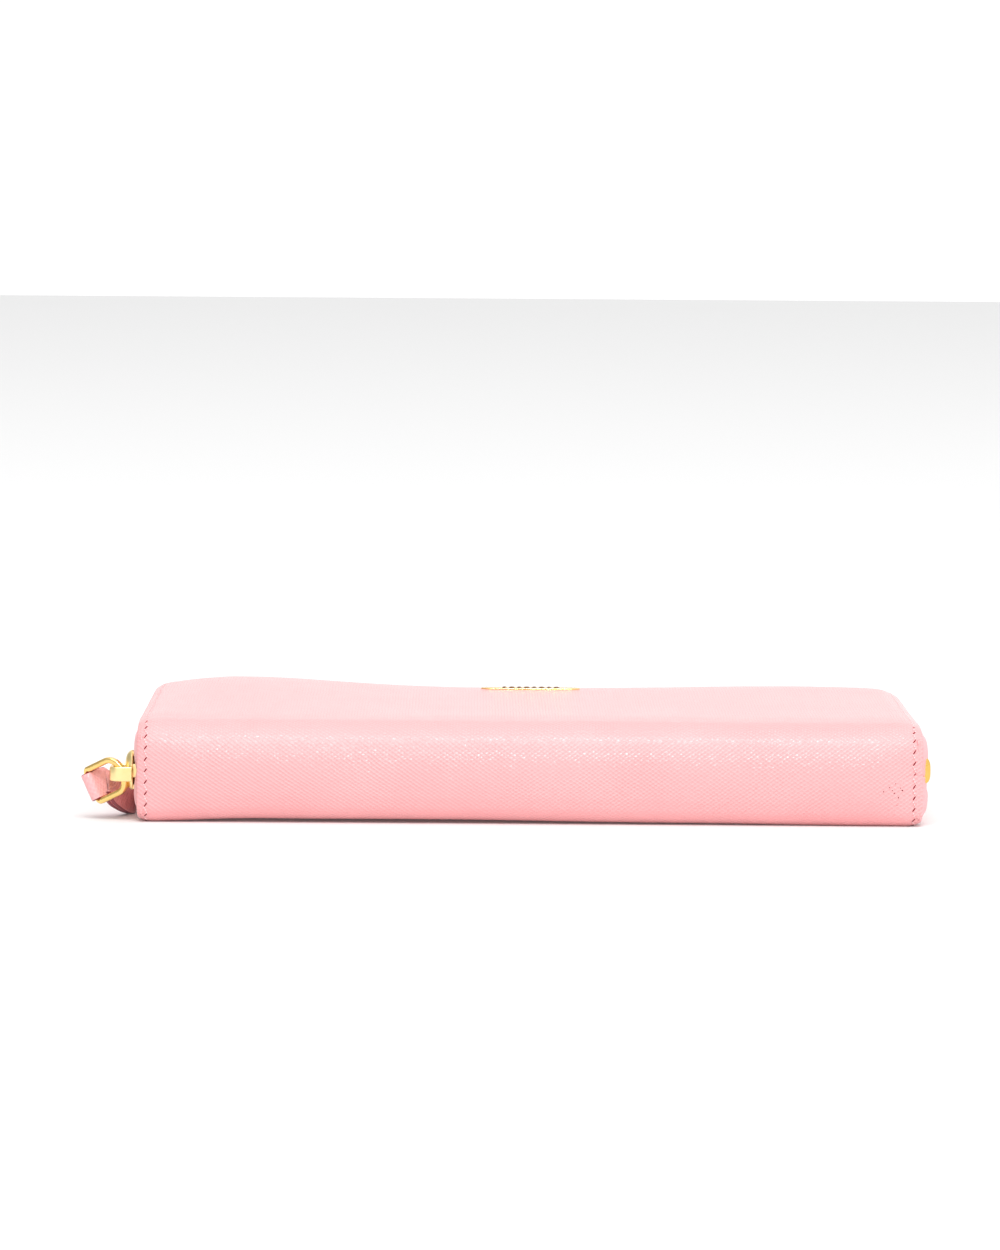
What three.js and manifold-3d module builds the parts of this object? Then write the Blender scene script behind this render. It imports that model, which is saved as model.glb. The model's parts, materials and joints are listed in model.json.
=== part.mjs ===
// A zip-around wristlet wallet, lying closed on its back cover.
//
// Frame: millimetres, +X along the spine, +Y from the spine towards the far zip side, +Z up.
// The origin is the centre of the back cover's resting face.
// Three shells fold like a book: the back cover lies still, the spine block carries the coin
// pocket, and the front cover closes on top. A metal zip runs round the three open sides.

import * as THREE from "three";
import Module from "manifold-3d";
import { mergeVertices } from "three/addons/utils/BufferGeometryUtils.js";

const wasm = await Module();
wasm.setup();

// ---- driving dimensions -------------------------------------------------------------------
const WIDTH = 195; // along the spine
const DEPTH = 103; // spine face to far edge
const HEIGHT = 26; // closed thickness
const CORNER = 12; // far corners of both covers
const GAP = 0.3; // between pieces that touch on the real wallet
const ZIP_MID = 12.5; // height of the line where the two zip halves meet

const LEATHER = 1.1;
const BOARD = 0.7;
const LINING = 0.4;
const ARC_STEPS = 6; // segments in a rounded corner

// ---- worked out from them -----------------------------------------------------------------
const HALF = WIDTH / 2;
const SPINE_Y = -DEPTH / 2; // the spine's outer face
const FAR_Y = DEPTH / 2;

// Heights of one cover's layers, counted from its outer face.
const BOARD_Z = LEATHER + GAP;
const LINING_Z = BOARD_Z + BOARD + GAP;
const CARDS_Z = LINING_Z + LINING + GAP;

// ---- materials ----------------------------------------------------------------------------
const finish = (color, roughness, metalness = 0) =>
  new THREE.MeshStandardMaterial({ color, roughness, metalness });
const PINK_LEATHER = finish(0xfcc8ca, 0.42);
const LINING_LEATHER = finish(0xf6bcbe, 0.5);
const TAPE_FABRIC = finish(0xf1b4b8, 0.85);
const POCKET_FABRIC = finish(0xd9a3a6, 0.8);
const BOARD_STOCK = finish(0xd8cfc4, 0.9);
const GOLD = finish(0xf0cf7a, 0.18, 1);

// ---- helpers ------------------------------------------------------------------------------
const wallet = new THREE.Group();

function add(name, geometry, material, parent = wallet) {
  const mesh = new THREE.Mesh(geometry, material);
  mesh.name = name;
  parent.add(mesh);
  return mesh;
}

function solidOf(geometry) {
  const bare = geometry.clone();
  for (const extra of ["normal", "uv"]) bare.deleteAttribute(extra);
  const merged = mergeVertices(bare, 1e-4);
  return new wasm.Manifold(
    new wasm.Mesh({
      numProp: 3,
      vertProperties: new Float32Array(merged.attributes.position.array),
      triVerts: new Uint32Array(merged.index.array),
    }),
  );
}

function geometryOf(solid) {
  const mesh = solid.getMesh();
  const geometry = new THREE.BufferGeometry();
  geometry.setAttribute("position", new THREE.BufferAttribute(mesh.vertProperties, 3));
  geometry.setIndex(new THREE.BufferAttribute(mesh.triVerts, 1));
  geometry.computeVertexNormals();
  return geometry;
}

const union = (...geometries) =>
  geometryOf(geometries.map(solidOf).reduce((all, next) => all.add(next)));
const cut = (geometry, tool) => geometryOf(solidOf(geometry).subtract(solidOf(tool)));

// A box given by its lowest and highest corner.
function block([x0, y0, z0], [x1, y1, z1]) {
  const box = new THREE.BoxGeometry(x1 - x0, y1 - y0, z1 - z0);
  return box.translate((x0 + x1) / 2, (y0 + y1) / 2, (z0 + z1) / 2);
}

// A flat shape of the XY plane, raised to z0 and given a thickness.
function plate(shape, z0, thickness, curveSegments = ARC_STEPS) {
  const solid = new THREE.ExtrudeGeometry(shape, {
    depth: thickness,
    bevelEnabled: false,
    curveSegments,
  });
  return solid.translate(0, 0, z0);
}

// A cover's outline, drawn in by inset on its three zip sides, from y0 on the spine side.
function coverOutline(inset, y0) {
  const x = HALF - inset;
  const y = FAR_Y - inset;
  const r = CORNER - inset;
  const shape = new THREE.Shape();
  shape.moveTo(-x, y0);
  shape.lineTo(x, y0);
  shape.lineTo(x, y - r);
  shape.absarc(x - r, y - r, r, 0, Math.PI / 2);
  shape.lineTo(-x + r, y);
  shape.absarc(-x + r, y - r, r, Math.PI / 2, Math.PI);
  shape.closePath();
  return shape;
}

// A wall that follows the three zip sides, centred inset from the cover's edge. It starts at
// leftY on the left side and at rightY on the right side.
function zipWall(inset, thickness, leftY, rightY, z0, z1) {
  const outer = inset - thickness / 2;
  const inner = inset + thickness / 2;
  const shape = new THREE.Shape();
  const corner = { x: HALF - CORNER, y: FAR_Y - CORNER };
  shape.moveTo(HALF - outer, rightY);
  shape.lineTo(HALF - outer, corner.y);
  shape.absarc(corner.x, corner.y, CORNER - outer, 0, Math.PI / 2);
  shape.lineTo(-corner.x, FAR_Y - outer);
  shape.absarc(-corner.x, corner.y, CORNER - outer, Math.PI / 2, Math.PI);
  shape.lineTo(-HALF + outer, leftY);
  shape.lineTo(-HALF + inner, leftY);
  shape.lineTo(-HALF + inner, corner.y);
  shape.absarc(-corner.x, corner.y, CORNER - inner, Math.PI, Math.PI / 2, true);
  shape.lineTo(corner.x, FAR_Y - inner);
  shape.absarc(corner.x, corner.y, CORNER - inner, Math.PI / 2, 0, true);
  shape.lineTo(HALF - inner, rightY);
  shape.closePath();
  return plate(shape, z0, z1 - z0);
}

// ---- covers -------------------------------------------------------------------------------
const TAPE_INSET = 0.3; // zip tape and chain stand this far inside the cover's edge
const TAPE = 0.6;
const INNER_INSET = 1.7; // board and lining stop inside the zip tape

// Each cover is drawn lying on z = 0 with its inside up; the front one is turned over by
// sending z to HEIGHT - z.
const CARD_ROWS = 4;
const CARD_LAYER = 0.4;
const CARD_HALF = 88; // two cards side by side
const CARD_FOOT_Y = SPINE_Y + 6.5;
const CARD_TOP_Y = FAR_Y - 14; // mouth of the deepest row
const CARD_STEP = 12; // from one row's mouth to the next

function cover(side, flipped) {
  const at = (z, thickness) => (flipped ? HEIGHT - z - thickness : z);
  const sheet = (outline, z, thickness) => plate(outline, at(z, thickness), thickness);

  add(`leather_${side}_panel`, sheet(coverOutline(0, SPINE_Y), 0, LEATHER), PINK_LEATHER);
  add(
    `board_${side}`,
    sheet(coverOutline(INNER_INSET, SPINE_Y + 2.5), BOARD_Z, BOARD),
    BOARD_STOCK,
  );
  add(
    `lining_${side}`,
    sheet(coverOutline(INNER_INSET, SPINE_Y + 3), LINING_Z, LINING),
    LINING_LEATHER,
  );
  for (let row = 0; row < CARD_ROWS; row++) {
    const z = at(CARDS_Z + row * (CARD_LAYER + GAP), CARD_LAYER);
    const mouth = CARD_TOP_Y - row * CARD_STEP;
    add(
      `card_pocket_${side}_${row + 1}`,
      block([-CARD_HALF, CARD_FOOT_Y, z], [CARD_HALF, mouth, z + CARD_LAYER]),
      LINING_LEATHER,
    );
  }
}
cover("back", false);
cover("front", true);

// ---- spine --------------------------------------------------------------------------------
const SPINE_FOOT = LEATHER + GAP; // clear of the covers, so that it can fold
const SPINE_INNER_FOOT = CARDS_Z;
const spineLayer = (name, y0, thickness, foot, inset, material) =>
  add(
    name,
    block([-HALF + inset, y0, foot], [HALF - inset, y0 + thickness, HEIGHT - foot]),
    material,
  );
spineLayer("leather_spine", SPINE_Y, LEATHER, SPINE_FOOT, 0, PINK_LEATHER);
spineLayer("spine_reinforcement", SPINE_Y + 1.4, 0.6, SPINE_INNER_FOOT, 2, BOARD_STOCK);
spineLayer("lining_spine", SPINE_Y + 2.3, LINING, SPINE_INNER_FOOT, 3, LINING_LEATHER);

// ---- main zip -----------------------------------------------------------------------------
const CHAIN = 2.4; // thickness of the metal chain
const CHAIN_HALF = 2.3; // height of one row of teeth
const PARTING = 0.6; // clear space each side of the parting line, for the slider's post
const TAPE_END_Y = SPINE_Y + 5;
const SLIDER_LENGTH = 12;
const SLIDER_Y = SPINE_Y + 3.5; // the slider's nose, closed

const chainTop = ZIP_MID - PARTING;
const chainFoot = chainTop - CHAIN_HALF;
add(
  "zip_tape_lower",
  zipWall(TAPE_INSET, TAPE, TAPE_END_Y, TAPE_END_Y, LEATHER + GAP, chainFoot - GAP),
  TAPE_FABRIC,
);
add(
  "zip_chain_lower",
  zipWall(TAPE_INSET, CHAIN, TAPE_END_Y, TAPE_END_Y + 1.5, chainFoot, chainTop),
  GOLD,
);
const upperFoot = ZIP_MID + PARTING;
const upperTop = upperFoot + CHAIN_HALF;
add(
  "zip_tape_upper",
  zipWall(TAPE_INSET, TAPE, TAPE_END_Y, TAPE_END_Y, upperTop + GAP, HEIGHT - LEATHER - GAP),
  TAPE_FABRIC,
);
// The upper row starts behind the closed slider, so that the cover can lift away from it.
add(
  "zip_chain_upper",
  zipWall(
    TAPE_INSET,
    CHAIN,
    SLIDER_Y + SLIDER_LENGTH + 0.8,
    TAPE_END_Y + 1.5,
    upperFoot,
    upperTop,
  ),
  GOLD,
);

// The bottom stop is a staple across both rows at the right end.
const stopX = HALF - TAPE_INSET;
const STOP = { reach: 1.9, y0: SPINE_Y + 3.2, y1: SPINE_Y + 4.7, half: 2.9 };
add(
  "zip_bottom_stop",
  block(
    [stopX - STOP.reach, STOP.y0, ZIP_MID - STOP.half],
    [stopX + STOP.reach, STOP.y1, ZIP_MID + STOP.half],
  ),
  GOLD,
);

// ---- slider -------------------------------------------------------------------------------
// Two plates with the lower row of teeth between them, joined by a thin post at the nose.
const SLIDER = { plate: 1.0, clear: 0.3, nose: 5.2, tail: 4.2, post: 0.6 };
const chainX = -(HALF - TAPE_INSET); // the left side's chain plane
const plateIn = CHAIN / 2 + SLIDER.clear; // from the chain plane to a plate's inner face
const plateOut = plateIn + SLIDER.plate;

function sliderPlate(x0) {
  const shape = new THREE.Shape();
  const y1 = SLIDER_LENGTH;
  shape.moveTo(0, -SLIDER.nose + 1.6);
  shape.quadraticCurveTo(0, -SLIDER.nose, 1.6, -SLIDER.nose);
  shape.lineTo(4.5, -SLIDER.nose + 0.2);
  shape.lineTo(y1 - 1.2, -SLIDER.tail);
  shape.quadraticCurveTo(y1, -SLIDER.tail, y1, -SLIDER.tail + 1.2);
  shape.lineTo(y1, SLIDER.tail - 1.2);
  shape.quadraticCurveTo(y1, SLIDER.tail, y1 - 1.2, SLIDER.tail);
  shape.lineTo(4.5, SLIDER.nose - 0.2);
  shape.lineTo(1.6, SLIDER.nose);
  shape.quadraticCurveTo(0, SLIDER.nose, 0, SLIDER.nose - 1.6);
  shape.closePath();
  const solid = new THREE.ExtrudeGeometry(shape, {
    depth: SLIDER.plate,
    bevelEnabled: false,
    curveSegments: 3,
  });
  // Drawn in XY and extruded along Z: turn it so that Y stays and Z becomes X.
  const turn = new THREE.Matrix4().makeBasis(
    new THREE.Vector3(0, 1, 0),
    new THREE.Vector3(0, 0, 1),
    new THREE.Vector3(1, 0, 0),
  );
  return solid.applyMatrix4(turn).translate(x0, SLIDER_Y, ZIP_MID);
}

const lipTop = chainFoot - GAP - 0.05;
const lipFoot = ZIP_MID - SLIDER.tail - 0.4;
const tapeClear = TAPE / 2 + SLIDER.clear;
const lip = (sign) => {
  const a = chainX + sign * tapeClear;
  const b = chainX + sign * (plateIn + 0.2);
  return block(
    [Math.min(a, b), SLIDER_Y + 1.6, lipFoot],
    [Math.max(a, b), SLIDER_Y + SLIDER_LENGTH - 1, lipTop],
  );
};
add(
  "zip_slider",
  union(
    sliderPlate(chainX - plateOut),
    sliderPlate(chainX + plateIn),
    block(
      [chainX - plateOut + 0.2, SLIDER_Y + 0.6, ZIP_MID - SLIDER.post / 2],
      [chainX + plateOut - 0.2, SLIDER_Y + 4, ZIP_MID + SLIDER.post / 2],
    ),
    lip(-1),
    lip(1),
  ),
  GOLD,
);

// The bridge is a folded strip whose front leg hangs over the slider's nose.
const BRIDGE = { strip: 0.9, width: 3.7, reach: 5.6, length: 9.6, z: ZIP_MID - 0.8 };
function bridge() {
  const root = chainX - plateOut; // the outer plate's face
  const far = root - BRIDGE.reach + SLIDER.plate + 0.1;
  const y0 = SLIDER_Y - BRIDGE.strip - GAP;
  const y1 = y0 + BRIDGE.length;
  const t = BRIDGE.strip;
  const shape = new THREE.Shape();
  shape.moveTo(root + SLIDER.plate, y0);
  shape.lineTo(root + SLIDER.plate, y0 + t);
  shape.lineTo(far + t + 0.6, y0 + t);
  shape.quadraticCurveTo(far + t, y0 + t, far + t, y0 + t + 0.6);
  shape.lineTo(far + t, y1 - t - 0.6);
  shape.quadraticCurveTo(far + t, y1 - t, far + t + 0.6, y1 - t);
  shape.lineTo(root - GAP, y1 - t);
  shape.lineTo(root - GAP, y1);
  shape.lineTo(far + 1.2, y1);
  shape.quadraticCurveTo(far, y1, far, y1 - 1.2);
  shape.lineTo(far, y0 + 1.2);
  shape.quadraticCurveTo(far, y0, far + 1.2, y0);
  shape.closePath();
  return plate(shape, BRIDGE.z - BRIDGE.width / 2, BRIDGE.width, 3);
}
add("slider_bridge", bridge(), GOLD);

// ---- D-ring and wrist strap ---------------------------------------------------------------
// The ring's own frame: it passes through the bridge at the origin, its straight bar is at
// -X, and the bar lies along Z. It then tips so that the bar hangs lower.
const RING = { length: 9.3, half: 4.25, band: 1.1, deep: 1.9, bar: 0.65 };
const RING_TIP = THREE.MathUtils.degToRad(22);
const RING_SWING = THREE.MathUtils.degToRad(18); // the bar lies further back than the bridge
const ringAt = new THREE.Vector3(chainX - plateOut - 1.3, SPINE_Y + 5.2, ZIP_MID - 0.4);

const ringTurn = new THREE.Matrix4()
  .makeRotationZ(-RING_SWING)
  .multiply(new THREE.Matrix4().makeRotationY(-RING_TIP));
const ringPlace = new THREE.Matrix4().makeTranslation(ringAt).multiply(ringTurn);
const inRing = (x, y, z) => new THREE.Vector3(x, y, z).applyMatrix4(ringPlace);

// A D drawn in the ring's plane with a hole, as deep as the band is wide.
function ring() {
  const { length, half, band, deep, bar } = RING;
  const outline = (off) => {
    const shape = new THREE.Shape();
    const r = half + off;
    shape.moveTo(-length - (off > 0 ? 0 : -bar), -r);
    shape.lineTo(-half, -r);
    shape.absarc(-half, 0, r, -Math.PI / 2, Math.PI / 2);
    shape.lineTo(-length - (off > 0 ? 0 : -bar), r);
    shape.closePath();
    return shape;
  };
  const d = outline(band / 2);
  const hole = new THREE.Shape();
  const h = half - band / 2;
  hole.moveTo(-length - 3, -h);
  hole.lineTo(-half, -h);
  hole.absarc(-half, 0, h, -Math.PI / 2, Math.PI / 2);
  hole.lineTo(-length - 3, h);
  hole.closePath();
  const stand = (shape, depth) =>
    new THREE.ExtrudeGeometry(shape, { depth, bevelEnabled: false, curveSegments: 8 })
      .translate(0, 0, -depth / 2)
      .rotateX(Math.PI / 2);
  const arms = cut(stand(d, deep), stand(hole, deep + 2));
  const rod = new THREE.CylinderGeometry(bar, bar, 2 * half, 12)
    .rotateX(Math.PI / 2)
    .translate(-length + bar * 0.4, 0, 0);
  return union(arms, rod).applyMatrix4(ringPlace);
}
add("d_ring", ring(), GOLD);

// The strap's end is a leather fold round the bar, with a neck that turns upright and runs
// down to the table beside the wallet.
const STRAP = { width: 7, layer: 1.1, x: chainX - 2.75 };
const STRAP_THICK = 2 * STRAP.layer + 0.1;
const strapTurnY = SPINE_Y + 22; // where the strap's free length starts

function ribbon(stations, thickness) {
  // Each station is [centre, direction across the strap]; thickness is across both.
  const corners = [];
  stations.forEach(([centre, across], i) => {
    const before = stations[Math.max(i - 1, 0)][0];
    const after = stations[Math.min(i + 1, stations.length - 1)][0];
    const along = after.clone().sub(before).normalize();
    const w = across.clone().normalize();
    const n = new THREE.Vector3().crossVectors(along, w).normalize();
    for (const [a, b] of [[-1, -1], [1, -1], [1, 1], [-1, 1]])
      corners.push(
        centre
          .clone()
          .addScaledVector(n, (a * thickness) / 2)
          .addScaledVector(w, (b * STRAP.width) / 2),
      );
  });
  const index = [];
  const quad = (a, b, c, d) => index.push(a, b, c, a, c, d);
  for (let s = 0; s + 1 < stations.length; s++)
    for (let k = 0; k < 4; k++) {
      const a = s * 4 + k;
      const b = s * 4 + ((k + 1) % 4);
      quad(a, b, b + 4, a + 4);
    }
  const last = (stations.length - 1) * 4;
  quad(3, 2, 1, 0);
  quad(last, last + 1, last + 2, last + 3);
  const geometry = new THREE.BufferGeometry();
  geometry.setAttribute(
    "position",
    new THREE.Float32BufferAttribute(corners.flatMap((p) => p.toArray()), 3),
  );
  geometry.setIndex(index);
  const made = solidOf(geometry);
  if (made.volume() > 0) return geometryOf(made);
  geometry.setIndex(index.reverse());
  return geometryOf(solidOf(geometry));
}

const barX = -RING.length + RING.bar * 0.4;
const FOLD = { bore: RING.bar + 0.35, outer: RING.bar + 0.35 + STRAP.layer };
function strapFold() {
  const eye = new THREE.CylinderGeometry(FOLD.outer, FOLD.outer, STRAP.width, 14)
    .rotateX(Math.PI / 2)
    .translate(barX, 0, 0);
  const bore = new THREE.CylinderGeometry(FOLD.bore, FOLD.bore, STRAP.width + 2, 14)
    .rotateX(Math.PI / 2)
    .translate(barX, 0, 0);
  const bar = inRing(barX, 0, 0);
  const across = inRing(barX, 0, 1).sub(bar);
  const away = inRing(barX + 0.55, 0.83, 0).sub(bar).normalize(); // behind the ring, and in
  const up = new THREE.Vector3(0, 0, 1);
  const lean = (share) => across.clone().lerp(up, share);
  const side = new THREE.Vector3(STRAP.x, strapTurnY - 0.5, STRAP.width / 2);
  const path = new THREE.CatmullRomCurve3([
    bar.clone().addScaledVector(away, FOLD.bore + 0.2),
    bar.clone().addScaledVector(away, FOLD.bore + 3),
    new THREE.Vector3(STRAP.x - 4.3, SPINE_Y + 12, 6.6),
    new THREE.Vector3(STRAP.x - 1.9, SPINE_Y + 16.5, 4.7),
    side,
  ]);
  const STEPS = 9;
  const stations = path
    .getSpacedPoints(STEPS)
    .map((p, i) => [p, lean(Math.min(1, (i / STEPS) * 1.25))]);
  const neck = ribbon(stations, STRAP_THICK);
  return cut(union(eye.applyMatrix4(ringPlace), neck), bore.applyMatrix4(ringPlace));
}
add("strap_fold", strapFold(), PINK_LEATHER);

// The free length runs back along the wallet's side, standing on its edge, and ends in a
// loop behind the far corner.
function wristStrap() {
  const doubled = block(
    [STRAP.x - STRAP_THICK / 2, strapTurnY + 0.5, 0],
    [STRAP.x + STRAP_THICK / 2, SPINE_Y + 97, STRAP.width],
  );
  const outerX = STRAP.x - STRAP.layer / 2 - 0.05;
  const innerX = STRAP.x + STRAP.layer / 2 + 0.05;
  const route = [
    [outerX, 94],
    [outerX - 0.7, 101],
    [outerX - 0.2, 110],
    [-94, 119],
    [-82, 123.4],
    [-70, 121],
    [-65.5, 115.5],
    [-70, 110.6],
    [-80, 109],
    [-90, 107.4],
    [-96.3, 103.4],
    [innerX, 96.5],
    [innerX, 94],
  ].map(([x, y]) => new THREE.Vector3(x, SPINE_Y + y, 0));
  const points = new THREE.CatmullRomCurve3(route, false, "centripetal").getSpacedPoints(56);
  const edge = (side) =>
    points.map((p, i) => {
      const a = points[Math.max(i - 1, 0)];
      const b = points[Math.min(i + 1, points.length - 1)];
      const n = new THREE.Vector2(-(b.y - a.y), b.x - a.x).normalize();
      return new THREE.Vector2(p.x, p.y).addScaledVector(n, (side * STRAP.layer) / 2);
    });
  const loop = new THREE.Shape([...edge(-1), ...edge(1).reverse()]);
  return union(doubled, plate(loop, 0, STRAP.width));
}
add("wrist_strap", wristStrap(), PINK_LEATHER);

// ---- ornament -----------------------------------------------------------------------------
// A plain bar with a row of beads, on the front cover near the far edge.
const ORNAMENT = { length: 24.5, depth: 4.6, thick: 0.7, y: FAR_Y - 11, beads: 9 };
function ornament() {
  const { length, depth, thick, y, beads } = ORNAMENT;
  const z = HEIGHT + GAP;
  const bar = block([-length / 2, y - depth / 2, z], [length / 2, y + depth / 2, z + thick]);
  const pitch = length / beads;
  const bead = (i) =>
    new THREE.CylinderGeometry(0.5, 1.1, 0.7, 6)
      .rotateX(Math.PI / 2)
      .translate((i - (beads - 1) / 2) * pitch, y, z + thick + 0.25);
  return union(bar, ...Array.from({ length: beads }, (_, i) => bead(i)));
}
add("ornament_bar", ornament(), GOLD);

// ---- centre coin pocket -------------------------------------------------------------------
const POCKET = { half: 93, wall: 0.7, thick: 6, foot: SPINE_Y + 3, mouth: SPINE_Y + 79.5 };
const pocketZ = 9.8;
add(
  "coin_pocket",
  cut(
    block(
      [-POCKET.half, POCKET.foot, pocketZ],
      [POCKET.half, POCKET.mouth, pocketZ + POCKET.thick],
    ),
    block(
      [-POCKET.half + 1.2, POCKET.foot + POCKET.wall, pocketZ + POCKET.wall],
      [POCKET.half - 1.2, POCKET.mouth + 5, pocketZ + POCKET.thick - POCKET.wall],
    ),
  ),
  POCKET_FABRIC,
);

// Its zip closes the mouth: two tapes and two rows of teeth, along X.
const COIN = { half: 86, chain: 0.9, parting: 0.45, thick: 1.6, y: POCKET.mouth - 3.2 };
const coinMid = pocketZ + POCKET.thick / 2;
const tapeRoot = POCKET.thick / 2 - POCKET.wall - GAP;
for (const [name, sign] of [["lower", -1], ["upper", 1]]) {
  const strip = (from, to, depth) => {
    const a = coinMid + sign * from;
    const b = coinMid + sign * to;
    return block(
      [-COIN.half, COIN.y - depth / 2, Math.min(a, b)],
      [COIN.half, COIN.y + depth / 2, Math.max(a, b)],
    );
  };
  const chainEnd = COIN.parting + COIN.chain;
  add(`coin_zip_chain_${name}`, strip(COIN.parting, chainEnd, COIN.thick), GOLD);
  if (tapeRoot - chainEnd - 0.25 > 0.1)
    add(`coin_zip_tape_${name}`, strip(chainEnd + 0.15, tapeRoot, 0.5), TAPE_FABRIC);
}
for (const [name, sign] of [["left", -1], ["right", 1]]) {
  const x = sign * (COIN.half + 1.3);
  add(
    `coin_zip_stop_${name}`,
    block([x - 0.9, COIN.y - 1, coinMid - 1.7], [x + 0.9, COIN.y + 1, coinMid + 1.7]),
    GOLD,
  );
}

// The coin slider's outer plate faces the mouth, with a small bail and a leather pull.
const COIN_SLIDER = { x: -COIN.half + 1, length: 8, half: 1.75, plate: 0.7 };
function coinSlider() {
  const { x, length, half, plate: t } = COIN_SLIDER;
  const clear = COIN.thick / 2 + 0.25;
  const outer = block([x, COIN.y + clear, coinMid - half], [x + length, COIN.y + clear + t, coinMid + half]);
  const inner = block([x, COIN.y - clear - t, coinMid - half], [x + length, COIN.y - clear, coinMid + half]);
  const post = block(
    [x + 0.6, COIN.y - clear - 0.2, coinMid - 0.2],
    [x + 3, COIN.y + clear + 0.2, coinMid + 0.2],
  );
  return union(outer, inner, post);
}
add("coin_slider", coinSlider(), GOLD);

const bailFace = COIN.y + COIN.thick / 2 + 0.25 + COIN_SLIDER.plate;
const BAIL = { x0: COIN_SLIDER.x + 1.6, x1: COIN_SLIDER.x + 6.4, rise: 2.2, strip: 0.6 };
function bail() {
  const { x0, x1, rise, strip } = BAIL;
  const half = 1;
  const whole = block([x0, bailFace + GAP, coinMid - half], [x1, bailFace + rise, coinMid + half]);
  const hollow = block(
    [x0 + strip, bailFace, coinMid - half - 1],
    [x1 - strip, bailFace + rise - strip, coinMid + half + 1],
  );
  return cut(whole, hollow);
}
add("coin_slider_bridge", bail(), GOLD);

// The pull turns on an upright bar under the bridge. It lies flat along the zip, closed.
const PULL = { x: (BAIL.x0 + BAIL.x1) / 2, y: bailFace + 0.85, bar: 0.4, reach: 14, half: 1.7 };
function coinPull() {
  const { x, y, bar, reach, half } = PULL;
  const pin = new THREE.CylinderGeometry(bar, bar, 2 * half, 10)
    .rotateX(Math.PI / 2)
    .translate(x, y, coinMid);
  const arm = (sign) => {
    const a = coinMid + sign * (half - 0.4);
    const b = coinMid + sign * half;
    return block([x - bar, y - bar, Math.min(a, b)], [x + 5, y + bar, Math.max(a, b)]);
  };
  const yoke = block([x + 4.2, y - bar, coinMid - half], [x + 5, y + bar, coinMid + half]);
  return union(pin, arm(-1), arm(1), yoke);
}
add("coin_pull_ring", coinPull(), GOLD);
add(
  "coin_pull_tab",
  block(
    [PULL.x + 5.3, PULL.y - 0.6, coinMid - PULL.half],
    [PULL.x + 5.3 + PULL.reach - 5, PULL.y + 0.6, coinMid + PULL.half],
  ),
  PINK_LEATHER,
);

// ---- gussets ------------------------------------------------------------------------------
// A folded leather V at each end of each compartment. It is drawn closed, with its crease
// pointing into the wallet, and fans out as the covers open.
const GUSSET = { skin: 0.5, root: 92.6, crease: 84.5, y0: SPINE_Y + 5, y1: FAR_Y - 15 };
function gusset(sign, z0, z1) {
  const { skin, root, crease, y0, y1 } = GUSSET;
  const mid = (z0 + z1) / 2;
  const shape = new THREE.Shape();
  shape.moveTo(root, z0);
  shape.lineTo(root, z0 + skin);
  shape.lineTo(crease + 1.4, mid);
  shape.lineTo(root, z1 - skin);
  shape.lineTo(root, z1);
  shape.lineTo(crease, mid + 0.2);
  shape.lineTo(crease, mid - 0.2);
  shape.closePath();
  const solid = new THREE.ExtrudeGeometry(shape, { depth: y1 - y0, bevelEnabled: false });
  solid.rotateX(Math.PI / 2).translate(0, y1, 0); // Z of the shape stays up, depth runs along Y
  return sign > 0 ? solid : solid.rotateZ(Math.PI).translate(0, y0 + y1, 0);
}
const cardsInside = CARDS_Z + CARD_ROWS * (CARD_LAYER + GAP);
for (const [end, sign] of [["left", -1], ["right", 1]]) {
  add(`gusset_lower_${end}`, gusset(sign, cardsInside, pocketZ - GAP), LINING_LEATHER);
  add(
    `gusset_upper_${end}`,
    gusset(sign, pocketZ + POCKET.thick + GAP, HEIGHT - cardsInside),
    LINING_LEATHER,
  );
}

export default wallet;
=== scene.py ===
import json
import math

import bmesh
import bpy
import numpy as np
from mathutils import Matrix, Vector


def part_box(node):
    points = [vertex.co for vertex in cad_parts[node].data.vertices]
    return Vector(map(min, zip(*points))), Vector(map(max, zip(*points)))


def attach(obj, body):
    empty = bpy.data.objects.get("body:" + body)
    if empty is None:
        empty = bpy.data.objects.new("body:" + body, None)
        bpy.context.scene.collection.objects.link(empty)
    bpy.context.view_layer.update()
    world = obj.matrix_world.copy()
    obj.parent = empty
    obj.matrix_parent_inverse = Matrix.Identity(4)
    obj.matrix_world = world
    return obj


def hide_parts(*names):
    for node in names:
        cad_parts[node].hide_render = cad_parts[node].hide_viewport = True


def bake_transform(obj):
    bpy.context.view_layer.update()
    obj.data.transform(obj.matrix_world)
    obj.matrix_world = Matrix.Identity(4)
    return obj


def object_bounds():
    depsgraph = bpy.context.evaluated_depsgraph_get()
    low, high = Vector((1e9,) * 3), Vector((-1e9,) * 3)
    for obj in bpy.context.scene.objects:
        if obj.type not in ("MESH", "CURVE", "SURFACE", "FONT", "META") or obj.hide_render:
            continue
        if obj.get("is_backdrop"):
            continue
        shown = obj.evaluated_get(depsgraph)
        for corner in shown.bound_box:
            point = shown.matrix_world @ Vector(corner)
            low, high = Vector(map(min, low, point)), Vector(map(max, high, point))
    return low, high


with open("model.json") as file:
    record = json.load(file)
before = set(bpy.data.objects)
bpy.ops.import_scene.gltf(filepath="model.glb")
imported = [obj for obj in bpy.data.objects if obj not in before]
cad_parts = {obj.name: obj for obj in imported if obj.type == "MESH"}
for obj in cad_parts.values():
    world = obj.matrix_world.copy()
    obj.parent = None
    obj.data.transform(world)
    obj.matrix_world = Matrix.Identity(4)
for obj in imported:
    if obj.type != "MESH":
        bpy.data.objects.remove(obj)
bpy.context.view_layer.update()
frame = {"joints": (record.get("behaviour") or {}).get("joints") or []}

MM = 0.001


def node_box(name):
    """A CAD node's lowest and highest corners, in millimetres."""
    low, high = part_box(name)
    return np.array(low) / MM, np.array(high) / MM


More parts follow.
